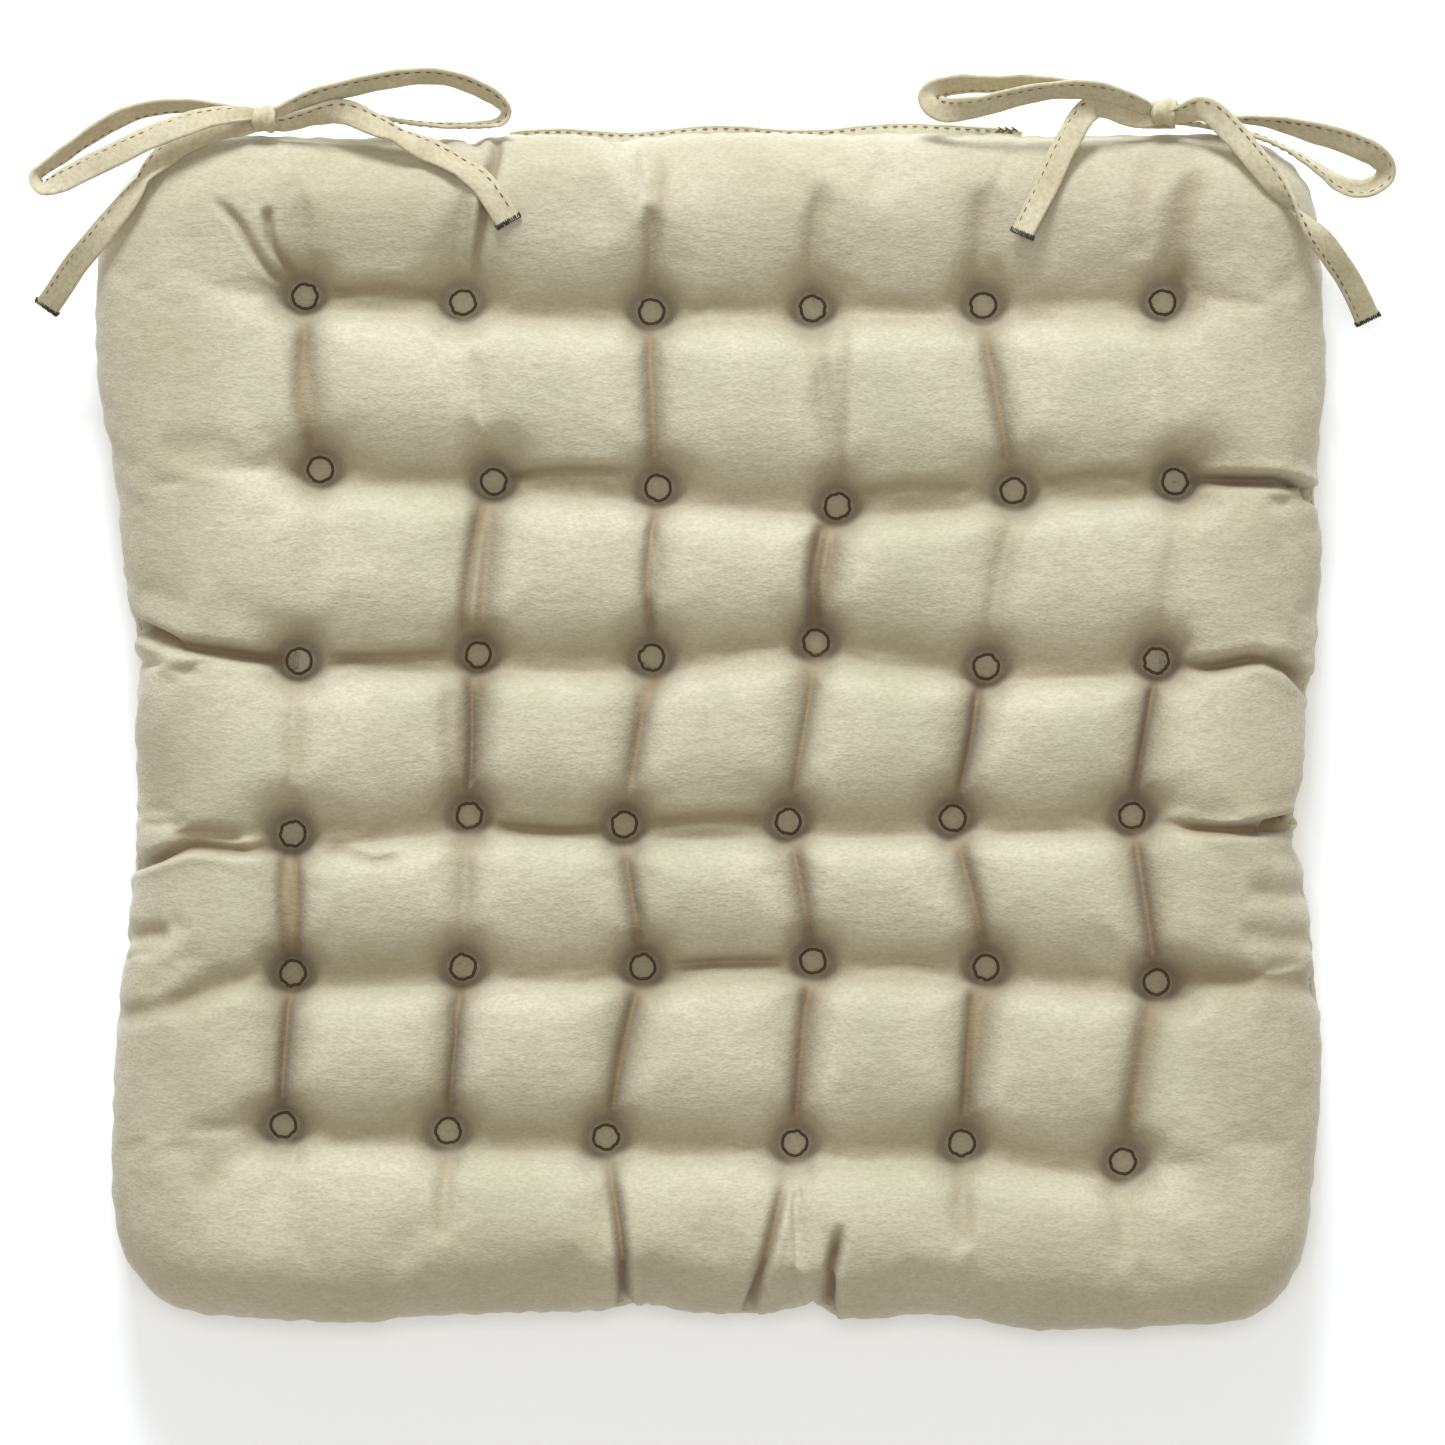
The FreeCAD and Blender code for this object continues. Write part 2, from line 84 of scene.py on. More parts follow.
# helpers for all the pieces
def linear(hexColour):
    # an sRGB hex value as linear red, green, blue and alpha
    parts = [int(hexColour[i:i + 2], 16) / 255 for i in (0, 2, 4)]
    return [p / 12.92 if p <= 0.04045 else ((p + 0.055) / 1.055) ** 2.4 for p in parts] + [1]


def addNode(material, kind, links=None, **settings):
    # one node; links maps its inputs to other nodes' outputs, settings are sockets or properties
    node = material.node_tree.nodes.new(kind)
    for key, value in settings.items():
        if key in node.inputs:
            node.inputs[key].default_value = value
        else:
            setattr(node, key, value)
    for socket, source in (links or {}).items():
        material.node_tree.links.new(source, node.inputs[socket])
    return node


def smooth(x):
    x = np.clip(x, 0, 1)
    return x * x * (3 - 2 * x)


def readPoints(piece, kind="co"):
    flat = np.empty(len(piece.data.vertices) * 3)
    piece.data.vertices.foreach_get(kind, flat)
    return flat.reshape(-1, 3)


def writePoints(piece, points):
    piece.data.vertices.foreach_set("co", points.ravel())
    piece.data.update()


def choose(piece):
    bpy.ops.object.select_all(action="DESELECT")
    piece.select_set(True)
    bpy.context.view_layer.objects.active = piece


def applyAll(piece):
    choose(piece)
    for modifier in list(piece.modifiers):
        bpy.ops.object.modifier_apply(modifier=modifier.name)


def newPiece(name, points, faces, material=None):
    mesh = bpy.data.meshes.new(name)
    mesh.from_pydata(np.asarray(points).tolist(), [], np.asarray(faces).tolist())
    mesh.update()
    piece = bpy.data.objects.new(name, mesh)
    bpy.context.collection.objects.link(piece)
    if material:
        mesh.materials.append(material)
    return piece


def curveThrough(places, count, closed=False):
    # evenly counted points on a smooth line through the given ones
    places = np.array(places, float)
    size = len(places)
    steps = np.linspace(0, size if closed else size - 1, count, endpoint=not closed)
    i = np.minimum(steps.astype(int), size - 1)
    f = (steps - i)[:, None]
    near = [(i + k) % size if closed else np.clip(i + k, 0, size - 1) for k in (-1, 0, 1, 2)]
    a, b, c, d = (places[k] for k in near)
    square, cube = 2 * a - 5 * b + 4 * c - d, 3 * (b - c) + d - a
    return 0.5 * (2 * b + (c - a) * f + square * f**2 + cube * f**3)


# the pad: two panels sewn round the edge, drawn together by the tufts and stuffed
padSet = {
    "cellsInside": 18,  # cloth cells between two tufts
    "cellsOutside": 20,  # and from an outer tuft to the seam
    "half": (198 * mm, 195 * mm),
    "cornerRadius": 34 * mm,
    "waist": 2.5 * mm,  # half the thickness left at a tuft
    "discRadius": 4.8 * mm,  # cloth held flat inside a tuft's ring
    "crown": 22.5 * mm,  # how far the puffs stand above the waist
    "edgeRoll": 27 * mm,
    "rollShape": 2.4,  # 2 is a round edge, and more is a fuller one
    "edgeFree": 14 * mm,  # the valleys fade out this far from the seam
    "forward": 1 * mm,  # the closing lip stands behind the panels
    "outlineFit": (0.79, 0.17),  # share of the outline where the cloth starts to follow it, and over how much
    "dimple": 19 * mm,
    "dimpleFlat": 3.5 * mm,
    "dimpleShape": 2.3,
    "borderValley": 36 * mm,
    # depth at the tufts and half-way, and the width to each side
    "valleys": {
        "across": ((14 * mm, 11 * mm), 28 * mm),
        "along": ((14 * mm, 10 * mm), 24 * mm),
        "border": ((8 * mm, 0), 17 * mm),
    },
    # how far a valley's flat bottom reaches to its left and right as it runs, and how steep its walls start
    "walls": {
        "across": ((0.5 * mm, 1.85), (4.6 * mm, 4.2)),
        "along": ((0.5 * mm, 3.3), (0.5 * mm, 2.5)),
        "border": ((1 * mm, 2.4), (1 * mm, 2.4)),
    },
    # how strongly each column's valley shows between two rows, from the back row to the front
    "strength": [
        (0.75, 0.2, 0.7, 0.45, 0.65, 0.25),
        (0.3, 0.9, 0.55, 1.05, 0.5, 0.35),
        (0.45, 1.2, 0.75, 0.8, 1.0, 1.0),
        (1.05, 0.65, 0.85, 0.85, 0.85, 1.0),
        (1.05, 0.95, 0.95, 0.95, 1.0, 0.8),
    ],
    "tuftPull": 0.4,  # the share of a column valley's depth at its tufts that its strength doesn't change
    "meet": 4,  # valleys that meet aren't added up, the more so the higher this power is
    "spareCloth": 0.03,  # how much larger the panels were cut than the pad they make
    "fillingHold": 0.05,  # how firmly the filling keeps the cloth where it is
    "pressure": 4.0,
    "frames": 14,
    "mostMove": 6 * mm,
    # the underside on the seat: how far it is pressed, and how softly it turns flat
    "seatPress": 1.07,
    "seatTurn": 1.2 * mm,
}
# The finished pad's outline, a few points on each side, from the left back corner round by the front.
outlinePoints = [
    (-184, 187), (-194, 175), (-200, 158), (-202, 130), (-199, 106), (-195, 84), (-192, 50),
    (-188, 26), (-189, 0), (-189, -36), (-191, -66), (-195, -100), (-196, -130), (-196, -158),
    (-190, -176), (-178, -188), (-160, -192), (-128, -194), (-92, -192), (-58, -191), (-34, -190),
    (-24, -188), (-8, -191.5), (20, -191.5), (33, -188.5), (46, -193), (76, -192), (104, -196),
    (134, -196), (166, -194), (182, -189), (192, -174), (196, -152), (199, -118), (198, -92),
    (195, -58), (191, -36), (194, -10), (195, 13), (198, 27), (199, 60), (197.5, 84), (199.5, 106),
    (200, 128), (199, 148), (197.5, 165), (195, 177), (189, 185), (180, 190.5), (164, 193.5),
    (140, 194), (112, 194), (80, 195), (48, 195), (20, 195.5), (-10, 195), (-28, 193),
    (-50, 194.5), (-80, 193), (-110, 193), (-146, 194), (-168, 193),
]
outlineCurve = curveThrough(outlinePoints, 1440, closed=True) * mm


def graded(count, startSlope, endSlope):
    # fractions from 0 to 1, closer together at an end whose slope is small
    t = np.linspace(0, 1, count + 1)
    return (t**3 - 2 * t**2 + t) * startSlope + (3 * t**2 - 2 * t**3) + (t**3 - t**2) * endSlope


def gridLines(stops):
    # the cloth's lines pass through the tufts and crowd towards them and towards the seam
    places, steps = [], []
    last = len(stops) - 2
    for k in range(last + 1):
        count = padSet["cellsOutside"] if k in (0, last) else padSet["cellsInside"]
        share = graded(count, 0.15 if k == 0 else 0.5, 0.15 if k == last else 0.5)
        share = share if k == last else share[:-1]
        steps += list(k + share)
        places += list(stops[k] + share * (stops[k + 1] - stops[k]))
    return np.array(places), np.array(steps)


def panelPlan(x, y, halfX, halfY, radius):
    # a square's points laid out in a rounded square, square cells bent to the corners
    u = np.clip((np.abs(x) - halfX + radius) / radius, 0, 1)
    v = np.clip((np.abs(y) - halfY + radius) / radius, 0, 1)
    corner = (u > 0) & (v > 0)
    roundX = np.sign(x) * (halfX - radius + radius * u * np.sqrt(1 - v * v / 2))
    roundY = np.sign(y) * (halfY - radius + radius * v * np.sqrt(1 - u * u / 2))
    return np.where(corner, roundX, x), np.where(corner, roundY, y)


def reachAt(x, y, angles):
    # how far the outline of a cloud of points reaches at each angle, smoothed a little
    bins = 240
    index = ((np.arctan2(y, x) / (2 * math.pi)) % 1 * bins).astype(int) % bins
    reach = np.zeros(bins)
    np.maximum.at(reach, index, np.hypot(x, y))
    reach = sum(np.roll(reach, k) for k in (-1, 0, 1)) / 3
    centres = (np.arange(bins) + 0.5) / bins * 2 * math.pi
    return np.interp(angles % (2 * math.pi), centres, reach, period=2 * math.pi)


def fitOutline(x, y):
    # outside the tufts the cloth is eased in or out to the pad's own uneven outline
    angles, radius = np.arctan2(y, x), np.hypot(x, y)
    made = reachAt(x, y, angles)
    scale = reachAt(outlineCurve[:, 0], outlineCurve[:, 1], angles) / made
    start, over = padSet["outlineFit"]
    scale = 1 + smooth((radius / made - start) / over) * (scale - 1)
    return x * scale, y * scale


def fromLine(x, y, start, end):
    # distance from a straight run, how far along it each point lies, and on which side
    dx, dy = end[0] - start[0], end[1] - start[1]
    px, py = x - start[0], y - start[1]
    along = np.clip((px * dx + py * dy) / (dx * dx + dy * dy), 0, 1)
    return np.hypot(px - along * dx, py - along * dy), along, np.sign(dx * py - dy * px)


def tuftDistance(x, y):
    nearest = np.full(x.shape, 1.0)
    for spot in tuftSpots.values():
        nearest = np.minimum(nearest, np.hypot(x - spot.x, y - spot.y))
    return nearest


def valleyRuns():
    # the cloth is drawn in along the lines from tuft to tuft, and from the outer tufts to the seam
    runs = []
    for (row, column), spot in tuftSpots.items():
        if column < tuftsPerSide:
            runs.append((spot, tuftSpots[row, column + 1], "across", 1))
        if row < tuftsPerSide:
            runs.append((spot, tuftSpots[row + 1, column], "along", padSet["strength"][row - 1][column - 1]))
        outwards = ((column == 1, (-1, 0)), (column == tuftsPerSide, (1, 0)),
                    (row == 1, (0, 1)), (row == tuftsPerSide, (0, -1)))
        for atEdge, (dx, dy) in outwards:
            if atEdge:
                runs.append((spot, spot + Vector((dx, dy, 0)) * padSet["borderValley"], "border", 1))
    return runs


def drawnIn(x, y):
    # how deep the cloth lies below the crown of the pad at each point
    total = np.zeros(x.shape)
    for start, end, kind, strength in valleyRuns():
        deep, wide = padSet["valleys"][kind]
        off, along, side = fromLine(x, y, start, end)
        middle = along if kind == "border" else np.sin(along * math.pi)
        atTuft = deep[0] * (padSet["tuftPull"] + (1 - padSet["tuftPull"]) * strength)
        depth = atTuft + (deep[1] * strength - atTuft) * smooth(middle)
        left, right = padSet["walls"][kind]
        bottom, shape = (np.where(side > 0, a, b) for a, b in zip(left, right))
        fall = np.clip(1 - np.maximum(off - bottom, 0) / (wide - bottom), 0, 1) ** shape
        total += (depth * fall) ** padSet["meet"]
    for spot in tuftSpots.values():
        off = np.maximum(np.hypot(x - spot.x, y - spot.y) - padSet["dimpleFlat"], 0)
        fall = np.clip(1 - off / padSet["dimple"], 0, 1) ** padSet["dimpleShape"]
        total += (padSet["crown"] * fall) ** padSet["meet"]
    return np.minimum(total ** (1 / padSet["meet"]), padSet["crown"])


def makePanels():
    # both panels as one closed mesh, joined at the seam, the top one first
    halfX, halfY = padSet["half"]
    columnStops = [np.mean([tuftSpots[r, c].x for r in tuftRows]) for c in tuftRows]
    rowStops = [np.mean([tuftSpots[r, c].y for c in tuftRows]) for r in reversed(tuftRows)]
    lineX, stepX = gridLines([-halfX] + columnStops + [halfX])
    lineY, stepY = gridLines([-halfY] + rowStops + [halfY])
    drift = np.zeros((tuftsPerSide + 2, tuftsPerSide + 2, 2))
    for (row, column), spot in tuftSpots.items():
        place = (tuftsPerSide + 1 - row, column)
        drift[place] = spot.x - columnStops[column - 1], spot.y - rowStops[place[0] - 1]
    x, y = (a.ravel() for a in np.meshgrid(lineX, lineY))
    u, v = (a.ravel() for a in np.meshgrid(stepX, stepY))
    x, y = panelPlan(x, y, halfX, halfY, padSet["cornerRadius"])
    edge = (u == u.min()) | (u == u.max()) | (v == v.min()) | (v == v.max())
    radius, roll = padSet["cornerRadius"], padSet["edgeRoll"]
    overX = np.maximum(np.abs(x) - halfX + radius, 0)
    overY = np.maximum(np.abs(y) - halfY + radius, 0)
    fromEdge = np.clip(radius - np.hypot(overX, overY), 0, roll)
    i, j = np.minimum(u.astype(int), tuftsPerSide), np.minimum(v.astype(int), tuftsPerSide)
    f, g = (u - i)[:, None], (v - j)[:, None]
    shift = (drift[j, i] * (1 - f) + drift[j, i + 1] * f) * (1 - g)
    shift += (drift[j + 1, i] * (1 - f) + drift[j + 1, i + 1] * f) * g
    x, y = fitOutline(x + shift[:, 0], y + shift[:, 1] - padSet["forward"])
    rolled = np.sqrt(np.clip(1 - (1 - fromEdge / roll) ** padSet["rollShape"], 0, 1))
    rise = (padSet["crown"] + padSet["waist"]) * rolled
    rise -= drawnIn(x, y) * smooth(fromEdge / padSet["edgeFree"])
    rise = np.maximum(rise, padSet["waist"] * smooth(fromEdge / roll))
    rise[edge] = 0
    inner = np.flatnonzero(~edge)
    lower = np.arange(x.size)
    lower[inner] = x.size + np.arange(inner.size)
    top = np.column_stack([x, y, seamHeight + rise])
    bottom = np.column_stack([x[inner], y[inner], seamHeight - rise[inner]])
    across = lineX.size
    corner = (np.arange(lineY.size - 1)[:, None] * across + np.arange(across - 1)[None, :]).ravel()
    quads = np.column_stack([corner, corner + 1, corner + across + 1, corner + across])
    cover = newPiece("seat_pad_cover", np.vstack([top, bottom]), np.vstack([quads, lower[quads][:, ::-1]]))
    held = cover.vertex_groups.new(name="held")
    points = readPoints(cover)
    gripped = tuftDistance(points[:, 0], points[:, 1]) < padSet["discRadius"]
    held.add(np.flatnonzero(gripped).tolist(), 1.0, "REPLACE")
    held.add(np.flatnonzero(~gripped).tolist(), padSet["fillingHold"], "REPLACE")
    return cover


def stuff(cover):
    # the panels are let out and blown up from inside, with the cloth at each tuft held still
    cloth = cover.modifiers.new("cloth", "CLOTH")
    settings = cloth.settings
    settings.quality = 6
    settings.mass = 0.15
    settings.tension_stiffness = settings.compression_stiffness = 20
    settings.shear_stiffness = 8
    settings.bending_stiffness = 1.5
    settings.tension_damping = settings.compression_damping = settings.shear_damping = 8
    settings.air_damping = 3
    settings.vertex_group_mass = "held"
    settings.pin_stiffness = 1
    settings.shrink_min = -padSet["spareCloth"]
    settings.use_pressure = True
    settings.uniform_pressure_force = padSet["pressure"]
    settings.effector_weights.gravity = 0
    cloth.collision_settings.use_collision = False
    cloth.point_cache.frame_end = padSet["frames"]
    for step in range(1, padSet["frames"] + 1):
        bpy.context.scene.frame_set(step)
    applyAll(cover)
    bpy.context.scene.frame_set(1)


cover = makePanels()
laidOut = readPoints(cover)
print("panels laid out,", len(laidOut), "points")
stuff(cover)
points = readPoints(cover)
moved = points - laidOut
distance = np.linalg.norm(moved, axis=1)
furthest, usual = (round(d / mm, 1) for d in (distance.max(), np.median(distance)))
print("stuffed: moved up to", furthest, "mm, usually", usual)
capped = np.tanh(distance / padSet["mostMove"]) * padSet["mostMove"]
points = laidOut + moved * (capped / np.maximum(distance, 1e-9))[:, None]
points[:, 0], points[:, 1] = fitOutline(points[:, 0], points[:, 1])
# the underside settles flat where it touches the seat
under = points[:, 2] < seamHeight
z = np.where(under, seamHeight - (seamHeight - points[:, 2]) * padSet["seatPress"], points[:, 2])
settled = np.maximum(0.5 * (z + np.sqrt(z * z + padSet["seatTurn"] ** 2)), 0)
points[:, 2] = np.where(under, settled, z)
writePoints(cover, points)
finer = cover.modifiers.new("finer", "SUBSURF")
finer.levels = finer.render_levels = 1
applyAll(cover)
choose(cover)
bpy.ops.object.shade_smooth()

# Folds and creases of the upper panel: the line each follows, its depth and half its width, in mm.
# The cloth stands a little proud on the left of the line as it runs.
creases = [
    ([(-135, 22.5), (-144.5, 23), (-157.5, 25), (-174, 27.5), (-188.5, 33), (-204, 38)], 6, 2.2),
    ([(-140, -39), (-154, -39.5), (-167, -38), (-175.5, -39.5), (-187, -43.5), (-204, -48)], 5, 1.9),
    ([(-152, -35.5), (-165, -33.5), (-178, -34.5)], 2, 2.4),
    ([(-129, -40), (-120, -39.5), (-110, -43.5), (-99.5, -41)], 2.2, 1.8),
    ([(150, 81.3), (169, 81), (185.5, 80.3), (198.5, 75.8), (212, 71)], 6.5, 2),
    ([(146, 22), (161, 20), (175.5, 22.5), (187, 21), (194.5, 14.5), (206, 6)], 5, 2.2),
    ([(144, -30.5), (161, -32.5), (177, -32.5), (192, -29.7), (208, -27)], 5.5, 2),
    ([(146, -80.5), (169, -80.5), (195, -83.5), (210, -85)], 2.5, 5),
    ([(172, -52), (188, -53.5), (206, -51)], 1.6, 4),
    ([(170, -66), (186, -68.5), (206, -70)], 1.6, 4),
    ([(-69.5, 82), (-50, 84.5), (-23.5, 84)], 3, 1.9),
    ([(45, 77), (65, 79.5), (88, 79)], 2, 2),
    ([(105, 80.5), (125, 83), (143, 83)], 2, 2),
    ([(-128, 23), (-105, 24), (-84, 25.5)], 2.6, 2),
    ([(-76, -30.5), (-50, -33), (-34, -32)], 3, 1.9),
    ([(-23, -30.5), (0, -28.5), (20, -29)], 2.5, 2),
    ([(-16, -77), (5, -76), (26, -75.5)], 2.2, 2),
    ([(-128, 142.5), (-105, 143.5), (-85, 141.5)], 2.6, 2.6),
    ([(-78.5, 143), (-75, 163), (-72.5, 179), (-70.5, 188), (-70.2, 195)], 3.8, 1.7),
    ([(-75, 76.5), (-79, 55), (-82, 29)], 3.6, 2),
    ([(-79.5, 19), (-78.5, -3.5), (-79.5, -23)], 3, 1.5),
    ([(-86, 17), (-87, -3.5), (-84, -23)], 1.2, 2.4),
    ([(36, 68), (32.5, 48.5), (33.5, 32)], 6, 2.3),
    ([(-18, 74), (-21.5, 50), (-19.5, 28)], 3, 1.8),
    ([(-16.5, 20), (-23, 2), (-26.5, -22)], 2, 2.4),
    ([(34, 20), (30, -3), (26, -25)], 2, 2),
    ([(88.5, 18), (86, 9.5), (84.5, -3.5), (80, -25)], 3.6, 1.7),
    ([(144.5, 17.5), (140.5, -3.5), (137, -25)], 3.6, 1.7),
    ([(-136, -38), (-134.5, -56), (-135.5, -76)], 2.4, 1.5),
    ([(-140, -38), (-140.5, -56), (-139, -76)], 1.8, 1.5),
    ([(-137.5, -84), (-139.5, -106), (-141, -126)], 3.2, 1.7),
    ([(-133, 133.5), (-134.5, 107.5), (-131, 89.5)], 2.6, 2.4),
    ([(-21, 133), (-20.5, 107), (-19, 84)], 2.6, 2.2),
    ([(88, 133), (92, 107), (97, 84)], 2.6, 2.2),
    ([(43, 133), (42, 107), (41, 78)], 1.8, 2.4),
    ([(84.5, -83), (83, -106), (82, -128)], 3.2, 1.8),
    ([(-30, -38), (-26, -56), (-24, -74)], 2, 2.2),
    ([(27, -36), (30, -56), (32, -72)], 2, 2.2),
    ([(80, -36), (86, -56), (89, -74)], 2, 2.2),
    ([(137.5, -34), (141, -56), (144.5, -78)], 2.6, 2),
    ([(-82, -82), (-84, -106), (-86, -128)], 2.4, 2),
    ([(-24, -82), (-30, -106), (-33, -129)], 2.4, 2),
    ([(31, -82), (28, -106), (27, -130)], 2.4, 2),
    ([(142, -86), (138, -110), (134, -136)], 2.2, 3),
    ([(-34, -137), (-30, -163.5), (-28.5, -186.5), (-28, -204)], 6, 2.1),
    ([(25, -141), (17, -173.5), (12, -191), (9, -204)], 5, 2),
    ([(42, -160), (38.5, -178), (38, -191.5), (38, -204)], 5.5, 1.9),
    ([(-137, 146), (-143.5, 149), (-149.5, 156.5), (-154.5, 165), (-163, 173.5)], 3, 1.6),
    ([(-134, 146), (-142.5, 156.5), (-144.5, 164), (-144.8, 170.5)], 3.2, 1.6),
    ([(150, 143), (152, 149.5), (152.8, 162.3), (155, 173.5), (160, 184)], 2.4, 4.6),
    ([(139, 152), (139, 169), (142, 188)], 1.2, 4.2),
    ([(142, 132), (145.5, 131), (149, 132)], 1.2, 1.2),
    ([(-21, 141), (-19.5, 160), (-16.5, 188)], 2, 3),
    ([(31, 140), (33, 158), (34.5, 178)], 1.1, 3.4),
    ([(86, 141), (85, 156), (87.5, 178)], 1.2, 3.6),
    ([(-86, -137), (-88, -152), (-89, -168)], 1.6, 3),
    ([(80, -141), (82, -156), (82, -170)], 1.4, 3.2),
    ([(-150, 88), (-165, 90), (-182, 92)], 1.2, 5),
    ([(-146, -82), (-160, -84), (-178, -90), (-204, -96)], 2, 3.6),
    ([(-176, -66), (-188, -67), (-204, -66)], 1.8, 3),
    ([(-146, -131), (-158, -140), (-168, -152)], 1.4, 5),
]
creaseSet = {
    "divided": 2.6,  # the cloth is divided more finely this many half widths to each side
    "reach": 4,  # and pressed or lifted at most this many
    "ends": 0.22,  # the share of its length over which a crease fades in and out
    "lip": (0.16, 2, 1.2),  # how much of the depth stands proud beside it, how far off and how widely
    "down": 4 * mm,  # creases run over the edge to this far below the seam
    "square": (8 * mm, 16 * mm),  # pressed square to the cloth this near the edge, then straight down
    "least": 0.8 * mm,  # what stays between a crease and the middle of the pad
}
creaseLines = [(curveThrough(line, 6 * len(line)) * mm, depth * mm, width * mm)
               for line, depth, width in creases]


def refineCreases(piece):
    # the cloth beside a crease is divided more finely, so that the crease comes out narrow
    points = readPoints(piece)
    near = np.zeros(len(points), bool)
    for line, _, width in creaseLines:
        dense = np.vstack([line[:-1] * (1 - f) + line[1:] * f for f in (0, 0.5)])
        for x, y in dense:
            near |= np.hypot(points[:, 0] - x, points[:, 1] - y) < creaseSet["divided"] * width
    near &= points[:, 2] > seamHeight - 3 * mm  # the upper panel only
    corners = np.empty(len(piece.data.loops), int)
    piece.data.loops.foreach_get("vertex_index", corners)
    inside = near[corners].reshape(-1, 4).any(axis=1)
    choose(piece)
    bpy.ops.object.mode_set(mode="EDIT")
    bpy.ops.mesh.select_mode(type="FACE")
    bpy.ops.mesh.select_all(action="DESELECT")
    bpy.ops.object.mode_set(mode="OBJECT")
    piece.data.polygons.foreach_set("select", inside)
    bpy.ops.object.mode_set(mode="EDIT")
    bpy.ops.mesh.subdivide(number_cuts=1, smoothness=0)
    bpy.ops.object.mode_set(mode="OBJECT")


def pressCreases(points, normals):
    # grooves pressed into the upper panel and down over its rolled edge
    push = np.zeros(len(points))
    down = creaseSet["down"]
    onTop = smooth((points[:, 2] - seamHeight + down) / (2 * down))
    for line, depth, width in creaseLines:
        reach = creaseSet["reach"] * width
        inside = (points[:, :2] > line.min(axis=0) - reach) & (points[:, :2] < line.max(axis=0) + reach)
        near = np.flatnonzero(inside.all(axis=1) & (onTop > 0))
        x, y = points[near, 0], points[near, 1]
        best, share, side = np.full(near.size, 1.0), np.zeros(near.size), np.zeros(near.size)
        for k in range(len(line) - 1):
            off, along, hand = fromLine(x, y, line[k], line[k + 1])
            nearer = off < best
            best = np.where(nearer, off, best)
            share = np.where(nearer, (k + along) / (len(line) - 1), share)
            side = np.where(nearer, hand, side)
        taper = smooth(share / creaseSet["ends"]) * smooth((1 - share) / creaseSet["ends"])
        off = best / width * side
        lip, lipOff, lipWide = creaseSet["lip"]
        groove = np.exp(-off * off) - lip * np.exp(-((off - lipOff) / lipWide) ** 2)
        push[near] -= depth * taper * groove * onTop[near]
    # Between the tufts the push is straight down, because the valleys' walls face each other.
    angles, radius = np.arctan2(points[:, 1], points[:, 0]), np.hypot(points[:, 0], points[:, 1])
    fromEdge = reachAt(outlineCurve[:, 0], outlineCurve[:, 1], angles) - radius
    start, over = creaseSet["square"]
    square = 1 - smooth((fromEdge - start) / over)[:, None]
    way = normals * square + np.array((0, 0, 1)) * (1 - square)
    way /= np.linalg.norm(way, axis=1)[:, None]
    made = points + way * push[:, None]
    sunk = (push < 0) & (fromEdge > start + over)
    made[sunk, 2] = np.maximum(made[sunk, 2], seamHeight + creaseSet["least"])
    return made, -push


refineCreases(cover)
points = readPoints(cover)
normals = readPoints(cover, "normal")
points, pressed = pressCreases(points, normals)
# soft unevenness of the filling, and puckers where the edge seam gathers the cloth
clothSet = {
    "uneven": 0.35 * mm,
    "pucker": 0.45 * mm,
    "puckers": (143, 17, 31),  # how many waves of them go round the pad
    "puckerHeight": 11 * mm,  # how far they reach above and below the seam
    "seamDip": 1.3 * mm,  # how deep the seam lies, and half its height
    "edgeFrom": 150 * mm,  # puckers and the seam's groove are only this far out
    "bulge": 0.7 * mm,  # the cloth inside a tuft's ring
    "bulgeRadius": 3.4 * mm,
    "grip": (4.6 * mm, 4 * mm),  # held flat to here, and let go over this much more
}
x, y, z = points.T
aboveSeam = np.abs(z - seamHeight)
atEdge = np.hypot(x, y) > clothSet["edgeFrom"]
around = np.unwrap(np.arctan2(y, x))
uneven = np.sin(x / (17 * mm) + 1.3 * np.sin(y / (29 * mm))) * np.sin(y / (21 * mm) + 0.7)
uneven *= smooth((aboveSeam - 8 * mm) / (8 * mm)) * smooth(tuftDistance(x, y) / (20 * mm) - 0.4)
fine, sway, coarse = clothSet["puckers"]
pucker = np.sin(around * fine + 2 * np.sin(around * sway)) * np.sin(around * coarse)
pucker *= smooth(1 - aboveSeam / clothSet["puckerHeight"]) * atEdge
seamDip = np.exp(-((z - seamHeight) / clothSet["seamDip"]) ** 2) * atEdge
lift = clothSet["uneven"] * uneven + clothSet["pucker"] * pucker - clothSet["seamDip"] * seamDip
points = points + normals * lift[:, None]

# inside each thread ring the cloth is held flat and bulges slightly
for spot in tuftSpots.values():
    off = np.hypot(points[:, 0] - spot.x, points[:, 1] - spot.y)
    near = np.flatnonzero(off < 10 * mm)
    r = off[near]
    bulge = clothSet["bulge"] * np.clip(1 - (r / clothSet["bulgeRadius"]) ** 2, -0.25, 1)
    sideways = np.where(points[near, 2] > seamHeight, 1, -1)
    held, letGo = clothSet["grip"]
    grip = 1 - smooth((r - held) / letGo)
    points[near, 2] += (seamHeight + sideways * (padSet["waist"] + bulge) - points[near, 2]) * grip
points[:, 2] = np.maximum(points[:, 2], 0)  # nothing lies below the seat
writePoints(cover, points)

